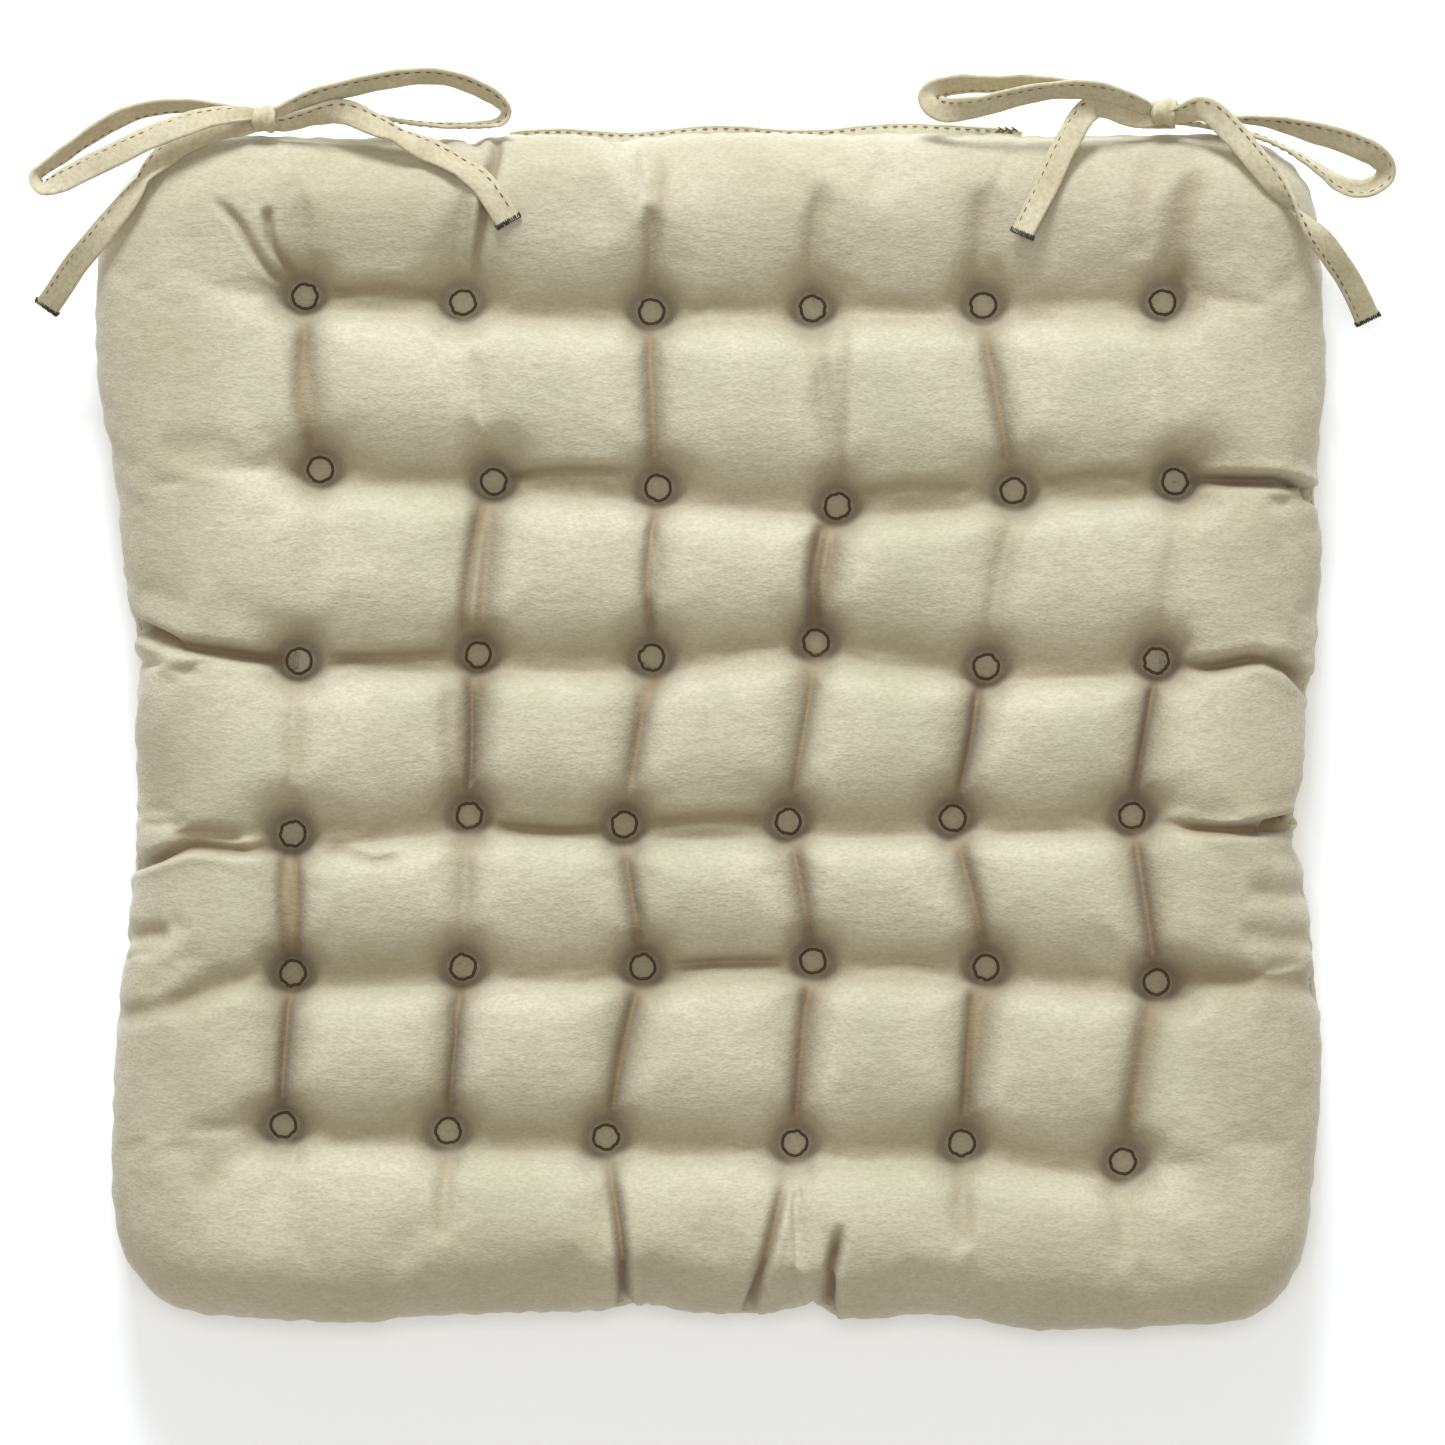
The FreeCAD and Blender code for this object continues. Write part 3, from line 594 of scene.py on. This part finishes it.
# How brown the cloth is painted, from 0 to 1: painted shade in the valleys and creases, beside the columns'
# valleys and at the border, where shade falls on the cloth.
paintedShadeSet = {
    "mostByDepth": 0.48,
    "crease": 7 * mm,  # a crease this deep is quite brown
    "column": (0.34, 6 * mm),  # along the columns' valleys, and how far to each side
    "border": (0.33, 142 * mm, 30 * mm),  # at the border, from where and over how much
    "inRing": 0.55,  # the share that is left on the cloth inside a tuft's ring
}
x, y, z = points.T
# painted shade: darker the lower the cloth lies below the crown, in pressed creases, beside the column
# valleys and towards the border
brown = np.minimum(drawnIn(x, y) / padSet["crown"], paintedShadeSet["mostByDepth"])
brown += np.clip(pressed, 0, 1) / paintedShadeSet["crease"]
share, wide = paintedShadeSet["column"]
for start, end, kind, strength in valleyRuns():
    if kind == "along":
        off = fromLine(x, y, start, end)[0]
        brown += share * strength * np.exp(-(off / wide) ** 2)
share, start, over = paintedShadeSet["border"]
outside = np.maximum(np.abs(x), np.abs(y))
brown += share * smooth((outside - start) / over) * smooth((z - seamHeight) / padSet["edgeFree"])
outOfRing = smooth(tuftDistance(x, y) / (1.5 * mm) - 2.4)
brown = np.clip(brown, 0, 1) * (paintedShadeSet["inRing"] + (1 - paintedShadeSet["inRing"]) * outOfRing)
paintedShadeValues = cover.data.attributes.new("painted_valley_shade", "FLOAT", "POINT")
paintedShadeValues.data.foreach_set("value", brown.astype(np.float32))
print("cover shaped,", len(cover.data.polygons), "faces, box", points.min(axis=0), points.max(axis=0))


def newMaterial(name, roughness, sheen=0.0):
    # a material with its shader and its place on the object
    material = bpy.data.materials.new(name)
    material.use_nodes = True
    shader = material.node_tree.nodes["Principled BSDF"]
    shader.inputs["Roughness"].default_value = roughness
    shader.inputs["Sheen Weight"].default_value = sheen
    shader.inputs["Sheen Roughness"].default_value = 0.5
    return material, shader, addNode(material, "ShaderNodeTexCoord")


# Brushed woven cotton: the raised nap scatters light and hides the weave but for a fine uneven grain.
cotton, shader, place = newMaterial("brushed woven cotton", 0.92, 0.2)
# threads are 0.4 mm apart, drawn at about 1 mm so that they show, and longer one way than the other
streak = addNode(cotton, "ShaderNodeMapping", {"Vector": place.outputs["Object"]}, Scale=(1, 1.9, 1.4))
grain = addNode(cotton, "ShaderNodeTexNoise", {"Vector": streak.outputs["Vector"]},
                Scale=620, Detail=4, Roughness=0.65)
slub = addNode(cotton, "ShaderNodeTexNoise", {"Vector": streak.outputs["Vector"]},
               Scale=170, Detail=3, Roughness=0.6)
cloud = addNode(cotton, "ShaderNodeTexNoise", {"Vector": place.outputs["Object"]},
                Scale=22, Detail=3, Roughness=0.55)
cloudTone = addNode(cotton, "ShaderNodeValToRGB", {"Fac": cloud.outputs["Fac"]})
for stop, (position, colour) in zip(cloudTone.color_ramp.elements, ((0.36, "c3bc9f"), (0.66, "d3c9af"))):
    stop.position, stop.color = position, linear(colour)
grainMask = addNode(cotton, "ShaderNodeMapRange", {"Value": grain.outputs["Fac"]},
                    **{"From Min": 0.36, "From Max": 0.62, "To Min": 0.4, "To Max": 0.0})
slubMask = addNode(cotton, "ShaderNodeMapRange", {"Value": slub.outputs["Fac"]},
                   **{"From Min": 0.34, "From Max": 0.58, "To Min": 0.22, "To Max": 0.0})
grained = addNode(cotton, "ShaderNodeMixRGB",
                  {"Fac": grainMask.outputs["Result"], "Color1": cloudTone.outputs["Color"]},
                  Color2=linear("a19875"))
slubbed = addNode(cotton, "ShaderNodeMixRGB",
                  {"Fac": slubMask.outputs["Result"], "Color1": grained.outputs["Color"]},
                  Color2=linear("ab9f7c"))
# painted shade: the cloth's colour is mixed towards dark brown in the valleys, creases and at the border,
# where shade falls
drawn = addNode(cotton, "ShaderNodeAttribute", attribute_name="painted_valley_shade")
paintedShadeMask = addNode(cotton, "ShaderNodeMapRange", {"Value": drawn.outputs["Fac"]},
                    **{"From Min": 0.12, "From Max": 1.0, "To Min": 0.0, "To Max": 0.76})
paintedShadeMix = addNode(cotton, "ShaderNodeMixRGB",
                  {"Fac": paintedShadeMask.outputs["Result"], "Color1": slubbed.outputs["Color"]},
                  Color2=linear("765a2d"))
cotton.node_tree.links.new(paintedShadeMix.outputs["Color"], shader.inputs["Base Color"])
napBump = addNode(cotton, "ShaderNodeBump", {"Height": grain.outputs["Fac"]},
                  Strength=0.55, Distance=0.4 * mm)
slubBump = addNode(cotton, "ShaderNodeBump",
                   {"Height": slub.outputs["Fac"], "Normal": napBump.outputs["Normal"]},
                   Strength=0.5, Distance=0.8 * mm)
cotton.node_tree.links.new(slubBump.outputs["Normal"], shader.inputs["Normal"])
cover.data.materials.append(cotton)
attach(cover, "pad")
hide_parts("top_panel", "bottom_panel", "filling")

# every stitch is a copy of one small plump bar
random = np.random.default_rng(11)
bpy.ops.object.select_all(action="DESELECT")
bpy.ops.mesh.primitive_uv_sphere_add(segments=6, ring_count=5, radius=0.5)
stitchShape = bpy.context.object
stitchShape.name = "stitch_shape"
bpy.ops.object.mode_set(mode="EDIT")
bpy.ops.mesh.select_all(action="SELECT")
bpy.ops.transform.resize(value=(1, 1, 0.85))
bpy.ops.object.mode_set(mode="OBJECT")
for point in stitchShape.data.vertices:
    if 0.2 < abs(point.co.z) < 0.4:  # fuller ends
        point.co = Vector((point.co.x * 1.35, point.co.y * 1.35, point.co.z))
bpy.ops.object.shade_smooth()


def threadMaterial(name, colour, lighter):
    # Twisted spun polyester: the twist shows as fine slanting bands with a dull sheen.
    thread, shader, place = newMaterial(name, 0.62, 0.1)
    twist = addNode(thread, "ShaderNodeTexWave", {"Vector": place.outputs["Object"]},
                    bands_direction="DIAGONAL", Scale=900, Distortion=1.5, Detail=2)  # a turn every 0.35 mm
    tone = addNode(thread, "ShaderNodeMixRGB", {"Fac": twist.outputs["Fac"]},
                   Color1=linear(colour), Color2=linear(lighter))
    thread.node_tree.links.new(tone.outputs["Color"], shader.inputs["Base Color"])
    bump = addNode(thread, "ShaderNodeBump", {"Height": twist.outputs["Fac"]},
                   Strength=0.4, Distance=0.12 * mm)
    thread.node_tree.links.new(bump.outputs["Normal"], shader.inputs["Normal"])
    return thread


tuftThread = threadMaterial("dark brown spun polyester thread", "3f2f20", "5f4c36")
closingThread = threadMaterial("brown spun polyester thread", "5f4630", "80623f")
seamThread = threadMaterial("undyed spun cotton thread", "b3a783", "cfc5a6")
endThread = threadMaterial("black overlock thread", "17120f", "332a24")


def sewn(name, places, material, body):
    # stitches given as centre, direction, facing and size, copied and joined into one piece
    joined = bmesh.new()
    for centre, along, up, size in places:
        z = Vector(along).normalized()
        x = Vector(up).cross(z).normalized()
        turn = Matrix((x, z.cross(x), z)).transposed().to_4x4()
        stitch = stitchShape.data.copy()
        stitch.transform(Matrix.Translation(Vector(centre)) @ turn @ Matrix.Diagonal((*size, 1)))
        joined.from_mesh(stitch)
        bpy.data.meshes.remove(stitch)
    mesh = bpy.data.meshes.new(name)
    joined.to_mesh(mesh)
    joined.free()
    mesh.materials.append(material)
    piece = bpy.data.objects.new(name, mesh)
    bpy.context.collection.objects.link(piece)
    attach(piece, body)
    return piece


# tufts: a ring of short dark stitches on each side of the waist, and the threads through it
tuftSet = {
    "stitches": 15,
    "radius": 4.0 * mm,
    "uneven": 0.22 * mm,
    "thread": 1.15 * mm,
    "long": 2.7 * mm,
    "proud": 0.1 * mm,  # how far the ring's middle stands out of the cloth
    "legs": 5,
    "legRadius": 3.8 * mm,
    "legThread": 0.7 * mm,
}
for (row, column), spot in tuftSpots.items():
    places = []
    for side in (1, -1):
        start = random.uniform(0, 1)
        for k in range(tuftSet["stitches"]):
            turn = (k + start) * 2 * math.pi / tuftSet["stitches"]
            out = Vector((math.cos(turn), math.sin(turn), 0))
            radius = tuftSet["radius"] + random.uniform(-1, 1) * tuftSet["uneven"]
            height = seamHeight + side * (padSet["waist"] + tuftSet["proud"])
            centre = Vector((spot.x, spot.y, height)) + out * radius
            along = Vector((-out.y, out.x, random.uniform(-0.14, 0.14)))
            places.append((centre, along, (0, 0, 1), (tuftSet["thread"], tuftSet["thread"], tuftSet["long"])))
    for k in range(tuftSet["legs"]):
        turn = k * 2 * math.pi / tuftSet["legs"]
        out = Vector((math.cos(turn), math.sin(turn), 0))
        centre = Vector((spot.x, spot.y, seamHeight)) + out * tuftSet["legRadius"]
        legSize = (tuftSet["legThread"], tuftSet["legThread"], 2.4 * padSet["waist"])
        places.append((centre, (0, 0, 1), (1, 0, 0), legSize))
    tuft = sewn(f"tuft_thread_row{row}_col{column}", places, tuftThread, "pad")
    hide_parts(f"tuft_row{row}_col{column}")
print("tufts sewn")

# the edge seam, seen in the groove where the two panels meet; the closing is sewn apart
seamSet = {
    "pitch": 3.4 * mm,
    "inset": 1.7 * mm,
    "stitch": (0.8 * mm, 0.8 * mm, 3 * mm),
    "closing": (-64 * mm, 98 * mm),
    "backFrom": 190 * mm,
}
lengths = np.linalg.norm(np.diff(outlineCurve, axis=0, append=outlineCurve[:1]), axis=1)
reach = np.cumsum(lengths) - lengths
places = []
for k in range(int(lengths.sum() / seamSet["pitch"])):
    at = k * seamSet["pitch"]
    here, ahead = (np.array([np.interp(far, reach, outlineCurve[:, i]) for i in (0, 1)])
                   for far in (at, at + 2 * mm))
    along = Vector((*(ahead - here), 0))
    openFrom, openTo = seamSet["closing"]
    if here[1] > seamSet["backFrom"] and openFrom < here[0] < openTo or along.length == 0:
        continue
    inwards = Vector((-along.y, along.x, 0)).normalized() * seamSet["inset"]
    centre = Vector((*here, seamHeight)) + inwards
    places.append((centre, along, (0, 0, 1), seamSet["stitch"]))
edgeSeam = sewn("edge_seam_thread", places, seamThread, "pad")
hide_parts("perimeter_seam")


# Strips of doubled cloth: the ties and the folded lip of the closing. The section is a share of half the
# width and half the thickness, with a groove where the stitching runs.
stripSection = [
    (-1, 0), (-0.97, 0.55), (-0.86, 0.95), (-0.4, 0.9), (0, 0.84), (0.4, 0.9), (0.62, 0.72), (0.8, 0.98),
    (0.95, 0.6), (1, 0), (0.95, -0.6), (0.8, -0.98), (0.62, -0.72), (0.4, -0.9), (0, -0.84), (-0.4, -0.9),
    (-0.86, -0.95), (-0.97, -0.55),
]


def nurbsLine(points):
    # the middle line of a strip, read from a spline with the given points as its control points
    curve = bpy.data.curves.new("middle_line", "CURVE")
    curve.dimensions = "3D"
    curve.resolution_u = 14
    spline = curve.splines.new("NURBS")
    spline.points.add(len(points) - 1)
    for point, place in zip(spline.points, points):
        point.co = (place[0] * mm, place[1] * mm, place[2] * mm, 1)
    spline.order_u = 3
    spline.use_endpoint_u = True
    holder = bpy.data.objects.new("middle_line", curve)
    bpy.context.collection.objects.link(holder)
    mesh = bpy.data.meshes.new_from_object(holder)
    line = [v.co.copy() for v in mesh.vertices]
    bpy.data.objects.remove(holder)
    bpy.data.meshes.remove(mesh)
    return line


def stripFrames(line, points, width):
    # for each place on the line, its direction across the strip and half the width there
    steps = np.linspace(0, len(points) - 1, len(line))
    leans = np.radians(np.interp(steps, range(len(points)), [p[3] for p in points]))
    shares = [p[4] if len(p) > 4 else 1 for p in points]
    widths = np.interp(steps, range(len(points)), shares) * width / 2
    frames = []
    for k, centre in enumerate(line):
        along = (line[min(k + 1, len(line) - 1)] - line[max(k - 1, 0)]).normalized()
        flat = Vector((-along.y, along.x, 0))
        steep = 0.35
        if flat.length < steep:  # rising from the seam, the strip lies across the pad's edge
            flat = flat * flat.length + Vector((0, 1, 0)) * (steep - flat.length)
        flat = (flat - along * flat.dot(along)).normalized()
        up = along.cross(flat)
        across = flat * math.cos(leans[k]) + up * math.sin(leans[k])
        frames.append((centre, along, across, along.cross(across), widths[k]))
    return frames


def makeStrip(name, frames, thickness, material, body):
    # a closed strip through the frames, a little uneven, as folded cloth is
    points, faces = [], []
    ring = len(stripSection)
    sway = random.uniform(0, 6)
    for k, (centre, along, across, face, half) in enumerate(frames):
        ripple = 0.22 * mm * math.sin(k * 0.43 + sway) * math.sin(k * 0.17)
        for w, h in stripSection:
            edge = 1 + 0.03 * math.sin(k * 0.31 + sway + 2 * w)
            points.append(centre + across * (w * half * edge) + face * (h * thickness / 2 + ripple * w))
    for k in range(len(frames) - 1):
        for i in range(ring):
            j = (i + 1) % ring
            faces.append((k * ring + i, k * ring + j, (k + 1) * ring + j, (k + 1) * ring + i))
    faces.append(tuple(range(ring))[::-1])
    faces.append(tuple(range((len(frames) - 1) * ring, len(frames) * ring)))
    mesh = bpy.data.meshes.new(name)
    mesh.from_pydata(points, [], faces)
    mesh.materials.append(material)
    piece = bpy.data.objects.new(name, mesh)
    bpy.context.collection.objects.link(piece)
    choose(piece)
    bpy.ops.object.mode_set(mode="EDIT")
    bpy.ops.mesh.select_all(action="SELECT")
    bpy.ops.mesh.normals_make_consistent(inside=False)
    bpy.ops.object.mode_set(mode="OBJECT")
    bpy.ops.object.shade_smooth_by_angle(angle=math.radians(50))
    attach(piece, body)
    return piece


def stitchPlaces(frames, share, pitch, long, thickness, start=0.0, end=0.0):
    # a running stitch along the frames, through the strip, at a share of its half width
    places, run, due = [], 0.0, start
    total = sum((frames[k + 1][0] - frames[k][0]).length for k in range(len(frames) - 1))
    for k in range(len(frames) - 1):
        step = (frames[k + 1][0] - frames[k][0]).length
        while due < run + step and due < total - end:
            f = (due - run) / step
            centre = frames[k][0].lerp(frames[k + 1][0], f)
            across, face, half = frames[k][2], frames[k][3], frames[k][4]
            places.append((centre + across * half * share, frames[k][1], face, (0.75 * mm, thickness, long)))
            due += pitch * random.uniform(0.93, 1.07)
        run += step
    return places


# the closing in the back edge: a thin folded lip with a brown running stitch, ended by backstitches
lipSet = {
    "width": 4.8 * mm,
    "thickness": 1.7 * mm,
    "pitch": 3.4 * mm,
    "stitch": 2.4 * mm,
    "ends": 2 * mm,
    "backstitches": 6,
}
lipEdge = [
    (-66, 195.6), (-63, 196.2), (-51, 196.9), (-40, 196.2), (-29, 195.2), (-17, 196), (-6, 197.5), (6, 197.9),
    (17, 196.8), (29, 196.2), (40, 196.6), (51, 197.9), (63, 198.5), (75, 198), (87, 197.4), (98, 196.6),
    (101, 195.8),
]
lipRoute = [(x, y - 2.4, 25 + 0.4 * math.sin(x / 9), 8 * math.sin(x / 13)) for x, y in lipEdge]
lipFrames = stripFrames(nurbsLine(lipRoute), lipRoute, lipSet["width"])
lip = makeStrip("closing_lip", lipFrames, lipSet["thickness"], cotton, "pad")
places = stitchPlaces(lipFrames, 0.45, lipSet["pitch"], lipSet["stitch"], lipSet["thickness"] + 0.7 * mm,
                      lipSet["ends"], lipSet["ends"])
for k in range(lipSet["backstitches"]):
    centre = ((93.5 + 1.1 * k) * mm, (195.7 + 0.6 * (k % 2)) * mm, seamHeight)
    places.append((centre, (1, 0.7 * (-1) ** k, 0), (0, 0, 1), (0.7 * mm, 2.6 * mm, 3.4 * mm)))
closing = sewn("closing_stitches", places, closingThread, "pad")
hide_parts("closing_seam")

# The ties: body, length in m, the side its stitching is on, and the route. Each route point is x, y, z in mm,
# the strip's lean in degrees, 0 where it lies flat and 90 where it stands on its edge, and, where it is
# gathered, its share of the full width.
tieSet = {
    "width": 8.3 * mm,
    "thickness": 1.5 * mm,
    "pitch": 3.3 * mm,
    "stitch": 2.5 * mm,
    "stitchShare": 0.62,  # of half the width
    "unstitched": (26 * mm, 3 * mm),  # at the root, which the knot hides, and at the cut end
    "end": 1.8 * mm,
    "endStitches": 13,
}
tieRoutes = {
    "left_tie_outer": ("left_bow", 0.285, -1, [
        (-148.3, 196.2, 25.5, 0, 0.8), (-148.3, 198, 30, 0, 0.7), (-148.3, 199.3, 35.5, 0, 0.5),
        (-148.5, 199.8, 41, 10, 0.5), (-151.5, 200.6, 43.8, 20, 0.75),
        (-165, 199, 50, 25), (-180, 193.5, 53, 18), (-195, 186.5, 53, 12), (-209, 179.5, 50.5, 20),
        (-218.5, 175.5, 46.5, 62), (-221, 181, 42, 72), (-212.5, 186.5, 39.5, 60), (-200, 196, 38.5, 52),
        (-185, 203, 37.5, 55), (-168, 203.5, 37, 65), (-151.5, 200.9, 37.4, 60, 0.7),
        (-146.5, 199.8, 37.6, 40, 0.45), (-146.5, 197.6, 39.4, 20, 0.45), (-151.5, 196.9, 40.2, 10, 0.75),
        (-162, 196, 41, 12), (-172, 191.5, 43.5, 8), (-181.5, 184.5, 46.5, 20), (-187.5, 175.5, 48, 62),
        (-194.5, 166.5, 46.5, 28), (-205, 155, 40.5, 4), (-212, 146, 33.5, 4), (-218, 137.5, 27.5, 0)]),
    "left_tie_inner": ("left_bow", 0.28, 1, [
        (-143.7, 196.2, 25.5, 0, 0.8), (-143.7, 198, 30, 0, 0.7), (-143.7, 199.3, 35.5, 0, 0.5),
        (-143.2, 200, 41, 20, 0.5), (-140.5, 201.2, 43.8, 40, 0.75),
        (-128, 206.5, 47, 50), (-110, 210.5, 47.5, 52), (-92, 213.5, 47, 56), (-77, 209.5, 45, 56),
        (-67.5, 203.5, 42, 62), (-68, 197.8, 39, 72), (-80, 196.8, 36.5, 80), (-96, 197.4, 35.5, 84),
        (-112, 200.5, 35.5, 82), (-127, 202.5, 36.5, 76), (-140.5, 201.3, 37.2, 60, 0.7),
        (-145.5, 200.2, 37.4, 40, 0.45), (-145.5, 198, 39.2, 40, 0.45),
        (-140.5, 197, 40.4, 45, 0.75), (-131, 199.5, 43, 50), (-121, 202, 45, 26), (-109, 196.5, 46.5, -18),
        (-99, 191.5, 47.5, -52), (-88, 186.5, 49.5, -12), (-77.5, 180.5, 52, -38), (-71, 173, 53, -6),
        (-66, 164.5, 53, 0)]),
    "right_tie_inner": ("right_bow", 0.255, -1, [
        (143.7, 197, 25.5, 0, 0.8), (143.7, 199.4, 30, 0, 0.7), (143.7, 200.8, 35.5, 0, 0.5),
        (143.2, 201.5, 41, -20, 0.5), (140.5, 202.8, 43.8, -35, 0.75),
        (130, 207, 48, -46), (115, 208.6, 50.5, -50), (98, 205.5, 49.5, -46), (84.5, 201.8, 47.5, -28),
        (73.5, 201.4, 44.5, -6), (69.8, 206.5, 41.5, 24), (77, 210.5, 39.5, 46), (90, 210.3, 38.8, 52),
        (105, 211, 38.5, 58), (122, 209, 38, 62), (140.5, 203, 37.6, 50, 0.7),
        (145.5, 201.6, 37.6, 20, 0.45), (145.5, 199.6, 39.4, 0, 0.45),
        (140.5, 198.5, 40.8, 0, 0.75), (132, 202, 43.3, -8), (123.5, 203.5, 45.5, -30), (118, 196, 47.5, 12),
        (113.5, 187.5, 49.5, 6), (107.5, 174.5, 52.5, 4), (100.5, 160.5, 53, 30)]),
    "right_tie_outer": ("right_bow", 0.29, 1, [
        (148.3, 197, 25.5, 0, 0.8), (148.3, 199.2, 30, 0, 0.7), (148.4, 200.9, 34.5, 0, 0.5),
        (149, 201.8, 37.5, 40, 0.5), (151.5, 202.8, 38.8, 70, 0.75),
        (164, 199.2, 40, 86), (179, 198.5, 42.5, 66), (194, 195.2, 41.5, 34), (208, 191.2, 39, 20),
        (218, 187, 35.5, 30),
        (221, 180.5, 32, 44), (213, 175.8, 29.5, 42), (205, 178, 29.5, 50), (198, 183.5, 28.5, 70),
        (189.5, 189, 28, 82),
        (179.5, 193.6, 28.5, 86), (168, 196.6, 30, 80), (157.5, 198.6, 33, 66), (152, 199.2, 36, 50, 0.7),
        (147, 200.2, 38.2, 20, 0.45), (147.5, 199.8, 41.4, 20, 0.45), (151.5, 199.8, 43.6, 34, 0.75),
        (161, 203, 49, 20), (169.5, 194, 48.5, 4), (178, 184, 50, 0), (186, 173.5, 50.5, 20),
        (194, 163.5, 48.5, 100), (201, 156, 44, 172), (208.5, 146, 36, 180), (214.5, 133.5, 28.5, 180)]),
}

# Plain-woven cotton tape folded in four: closer and smoother than the cover, with the same undyed colour.
tape, shader, place = newMaterial("plain woven cotton tape", 0.88, 0.15)
weave = addNode(tape, "ShaderNodeTexNoise", {"Vector": place.outputs["Object"]},
                Scale=700, Detail=3, Roughness=0.6)
patch = addNode(tape, "ShaderNodeTexNoise", {"Vector": place.outputs["Object"]},
                Scale=75, Detail=3, Roughness=0.6)
patchTone = addNode(tape, "ShaderNodeMixRGB", {"Fac": patch.outputs["Fac"]},
                    Color1=linear("ae9f79"), Color2=linear("d5caac"))
weaveMask = addNode(tape, "ShaderNodeMapRange", {"Value": weave.outputs["Fac"]},
                    **{"From Min": 0.34, "From Max": 0.6, "To Min": 0.34, "To Max": 0.0})
woven = addNode(tape, "ShaderNodeMixRGB",
                {"Fac": weaveMask.outputs["Result"], "Color1": patchTone.outputs["Color"]},
                Color2=linear("8f8460"))
tape.node_tree.links.new(woven.outputs["Color"], shader.inputs["Base Color"])
weaveBump = addNode(tape, "ShaderNodeBump", {"Height": weave.outputs["Fac"]},
                    Strength=0.5, Distance=0.25 * mm)
tape.node_tree.links.new(weaveBump.outputs["Normal"], shader.inputs["Normal"])

for name, (body, length, stitchSide, route) in tieRoutes.items():
    line = nurbsLine(route)
    frames = stripFrames(line, route, tieSet["width"])
    made = sum((line[k + 1] - line[k]).length for k in range(len(line) - 1))
    tie = makeStrip(name + "_strip", frames, tieSet["thickness"], tape, body)
    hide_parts(name)
    places = stitchPlaces(frames, tieSet["stitchShare"] * stitchSide, tieSet["pitch"], tieSet["stitch"],
                          tieSet["thickness"] + 0.5 * mm, *tieSet["unstitched"])
    dashes = sewn(name + "_topstitch", places, closingThread, body)
    # the cut end is oversewn with black thread
    tip, along, across, face, half = frames[-1]
    places = []
    for k in range(tieSet["endStitches"]):
        shift = (2 * k / (tieSet["endStitches"] - 1) - 1) * half
        centre = tip + across * shift - along * tieSet["end"] * 0.35
        slant = along + across * random.uniform(-0.35, 0.35)
        size = (1.05 * mm, tieSet["thickness"] + 0.7 * mm, tieSet["end"] * random.uniform(1.15, 1.4))
        places.append((centre, slant, face, size))
    end = sewn(name + "_oversewn_end", places, endThread, body)
    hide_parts(name + "_end")
    print(name, "is", round(made / mm, 1), "mm along its middle")

# knots: a turn of the tape wrapped round the crossing of the legs
knotSet = {
    "places": {"left": (-146, 199, 40), "right": (147.4, 201.1, 40.2)},
    "size": (4.2 * mm, 4.9 * mm, 5.8 * mm),
}
for side, (x, y, z) in knotSet["places"].items():
    bpy.ops.object.select_all(action="DESELECT")
    bpy.ops.mesh.primitive_uv_sphere_add(segments=44, ring_count=26, radius=1, rotation=(0, math.pi / 2, 0))
    knot = bpy.context.object
    knot.name = knot.data.name = side + "_knot_wrap"
    bpy.ops.object.transform_apply(location=True, rotation=True, scale=True)
    dx, dy, dz = readPoints(knot).T
    turn, out = np.arctan2(dz, dy), np.hypot(dy, dz) ** 0.5
    # the wrap is a short barrel; folds run round it, and it flares where the legs leave
    fold = 1 + 0.08 * np.sin(dx * 8 + 1.5 * np.sin(turn + 0.6)) + 0.05 * np.sin(dx * 3.2 + 2 * turn)
    out = out * fold * (0.88 + 0.22 * dx**2)
    shape = knotSet["size"]
    writePoints(knot, np.column_stack([
        x * mm + np.sign(dx) * np.abs(dx) ** 0.75 * shape[0] + 0.4 * mm * np.sin(turn * 2 + 1),
        y * mm + np.cos(turn) * out * shape[1], z * mm + np.sin(turn) * out * shape[2]]))
    finer = knot.modifiers.new("finer", "SUBSURF")
    finer.levels = finer.render_levels = 1
    applyAll(knot)
    bpy.ops.object.shade_smooth()
    knot.data.materials.append(tape)
    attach(knot, side + "_bow")
    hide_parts(side + "_bow_knot")
print("ties and knots made")

# the bartacks that hold the ties in the seam are CAD pieces and only need their thread
for side in ("left", "right"):
    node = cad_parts[side + "_tie_bartack"]
    node.data.materials.clear()
    node.data.materials.append(closingThread)
bpy.data.objects.remove(stitchShape)

# the floor, a pale sweep, and the light
bpy.ops.mesh.primitive_plane_add(size=12, location=(0, 0, -0.2 * mm))
floor = bpy.context.object
floor.name = "floor"
floor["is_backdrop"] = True
paper, shader, _ = newMaterial("matt white paper", 0.95)
shader.inputs["Base Color"].default_value = linear("fbfbfb")
shader.inputs["Emission Color"].default_value = (1, 1, 1, 1)
shader.inputs["Emission Strength"].default_value = 0.16  # a sweep lit from behind
floor.data.materials.append(paper)
bpy.context.scene.view_settings.view_transform = "Standard"
world = bpy.data.worlds.new("studio")
bpy.context.scene.world = world
world.use_nodes = True
world.node_tree.nodes["Background"].inputs["Color"].default_value = (1, 0.97, 0.9, 1)
world.node_tree.nodes["Background"].inputs["Strength"].default_value = 0.43
# one lamp low behind the pad, which models the puffs, and a large soft one high above it
lampSet = [{"place": Vector((-0.15, 2.3, 1.35)), "size": 0.8, "energy": 74, "colour": (0.88, 0.97, 1.12)},
           {"place": Vector((0, 0.3, 5)), "size": 1.6, "energy": 72, "colour": (0.93, 0.98, 1.06)}]
for lampKind in lampSet:
    bpy.ops.object.light_add(type="AREA", location=lampKind["place"])
    lamp = bpy.context.object
    lamp.data.size = lampKind["size"]
    lamp.data.energy = lampKind["energy"]
    lamp.data.color = lampKind["colour"]
    lamp.rotation_euler = lampKind["place"].to_track_quat("Z", "Y").to_euler()
low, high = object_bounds()
